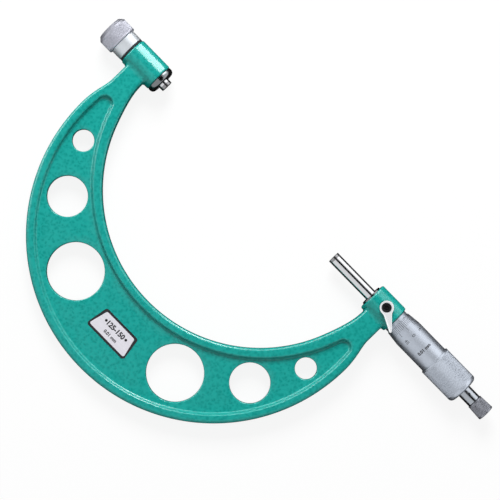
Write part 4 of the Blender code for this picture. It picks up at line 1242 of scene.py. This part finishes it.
def white_table():
    """Where it is seen, mostly plain white with a faint shadow of the tool; to the light, a grey card."""
    made = bpy.data.materials.new("white_table")
    made.use_nodes = True
    tree = made.node_tree
    tree.nodes.remove(tree.nodes["Principled BSDF"])
    shades = {label: (*[tone] * 3, 1.0) for label, tone in (("A", TABLE_GREY), ("B", TABLE_WHITE))}
    shade = put(tree, "Mix", {**shades, "Factor": seen(tree)}, data_type="RGBA")
    matt = put(tree, "BsdfDiffuse", {"Color": shade.outputs["Result"]}).outputs["BSDF"]
    glow = put(tree, "Emission").outputs["Emission"]
    share = math_node(tree, "MULTIPLY", seen(tree), TABLE_GLOW)
    blend = put(tree, "MixShader", {"Fac": share, 1: matt, 2: glow})
    feed(tree, tree.nodes["Material Output"].inputs["Surface"], blend.outputs["Shader"])
    return made


def show_stage(name, mesh, material):
    obj = new_object(name, mesh)
    obj.data.materials.append(material)
    return obj


show_stage("table_top", floor_mesh("table_top"), white_table())

# %% [markdown]
# ## What the metal reflects
# Chrome has hardly a colour of its own, it shows the studio. Seen along the tool the studio is a
# ring: pale sky on the lower side, a black flag overhead that draws the fine dark line on every
# rod, a long lit panel on the upper side, and a dark table that outlines each round edge. Flags
# and panels show in reflections only; the matt light comes from the world and one key lamp. Most
# panels are switched to a few pieces, the way a small card held close lights up just one of them.

# %% World, panels and lamps
def world_light(strength):
    """White to the camera and in reflections, and a softer white as light."""
    world = bpy.data.worlds.new("studio")
    bpy.context.scene.world = world
    world.use_nodes = True
    light = world.node_tree.nodes["Background"]
    light.inputs["Color"].default_value = (1, 1, 1, 1)
    extra = math_node(world.node_tree, "MULTIPLY", seen(world.node_tree), 1 - strength)
    feed(world.node_tree, light.inputs["Strength"], math_node(world.node_tree, "ADD", extra, strength))


def only_in_reflections(obj):
    for ray in ("camera", "diffuse", "transmission", "volume_scatter", "shadow"):
        setattr(obj, f"visible_{ray}", False)


def lamp(name, place, target, width, height, watts):
    """A soft box at a place, aimed at a target."""
    data = bpy.data.lights.new(name, "AREA")
    data.shape, data.size, data.size_y, data.energy = "RECTANGLE", width, height, watts
    obj = new_object(name, data)
    obj.location = place
    obj.rotation_euler = (Vector(target) - Vector(place)).to_track_quat("-Z", "Y").to_euler()
    return obj


def panel(name, low, high, span, brightness, pieces=(), radius=3.0, bearing=90.0):
    """A lit panel between two angles from overhead towards a bearing; pi x area x brightness is its power.

    Bearing 90 is +Y, and the span runs along X there. With pieces the panel is switched to those
    alone, as a small card held close to them would be.
    """
    middle, width, centre = radians(low + high) / 2, span[1] - span[0], sum(span) / 2
    height = 2 * radius * tan(radians(high - low) / 2)
    way = Vector((cos(radians(bearing)), sin(radians(bearing)), 0))
    target = centre * Vector((way.y, -way.x, 0))
    place = target + radius * (sin(middle) * way + Vector((0, 0, cos(middle))))
    obj = lamp(name, place, target, width, height, pi * width * height * brightness)
    only_in_reflections(obj)
    if pieces:
        group = bpy.data.collections.new(f"{name}_pieces")
        for piece in pieces:
            group.objects.link(piece if isinstance(piece, bpy.types.Object) else bpy.data.objects[piece])
        obj.light_linking.receiver_collection = group
    return obj


STUDIO_R = 3.0
OVERHEAD_FLAG = (-8.0, 28.0)


def flag_mesh(low, high, half_length=8.0):
    """A strip of a cylinder about the measuring axis, between two angles from overhead towards +Y."""
    angle = np.radians(np.linspace(low, high, 25))
    x, a = np.meshgrid((-half_length, half_length), angle, indexing="ij")
    points = np.stack([x, STUDIO_R * np.sin(a), STUDIO_R * np.cos(a)], -1) / MM
    return mesh_of("overhead_flag", points.reshape(-1, 3), grid_faces(2, 25, False, False))


WORLD_STRENGTH = 0.36
KEY_PLACE, KEY_SIZE, KEY_WATTS = (-0.6, 0.65, 0.85), 0.6, 18.5
MIDDLE = (0.09, -0.04, 0.0)
world_light(WORLD_STRENGTH)
lamp("key", KEY_PLACE, MIDDLE, KEY_SIZE, KEY_SIZE, KEY_WATTS).visible_glossy = False
FLAG_BLACK = dark("flag_black", (0.01, 0.01, 0.01), 1.0, 0.0)
only_in_reflections(show_stage("overhead_flag", flag_mesh(*OVERHEAD_FLAG), FLAG_BLACK))
only_in_reflections(show_stage("dark_table", floor_mesh("dark_table", 0.1), FLAG_BLACK))

# %% Lit panels
EVERYWHERE, HEAD_SIDE, ANVIL_SIDE = (-8, 8), (-0.1, 8), (-8, -0.1)
NEAR, CLOSE = 2.5, 0.4
CASTING = ["frame_casting"]
SATIN_PIECES = ["knurled_thimble", "scale_sleeve", "anvil_clamp_nut", "anvil_clamp_sleeve"]
panel("chrome_panel", 42, 92, EVERYWHERE, 0.7)
panel("casting_panel", 42, 92, HEAD_SIDE, 1.6, CASTING)
panel("boss_card", 36, 92, (-0.16, 0.0), 20.0, CASTING, CLOSE)
panel("west_panel", 40, 62, (-2, 2), 9.0, CASTING, bearing=180)
panel("low_west_panel", 62, 88, (-1.4, 1.4), 6.0, CASTING, bearing=180)
panel("nut_panel", 70, 110, ANVIL_SIDE, 3.0, SATIN_PIECES[2:])
panel("nose_panel", 42, 80, ANVIL_SIDE, 4.0, ["anvil_nose_ring"])
for name, brightness, pieces in (
    ("satin_fill", 0.55, SATIN_PIECES),
    ("lever_fill", 0.9, ["drop_lever"]),
    ("plate_fill", 0.45, [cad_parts["scale_plate"]]),
):
    panel(name, -10, 30, EVERYWHERE, brightness, pieces, NEAR)
bpy.context.scene.view_settings.view_transform = "Standard"
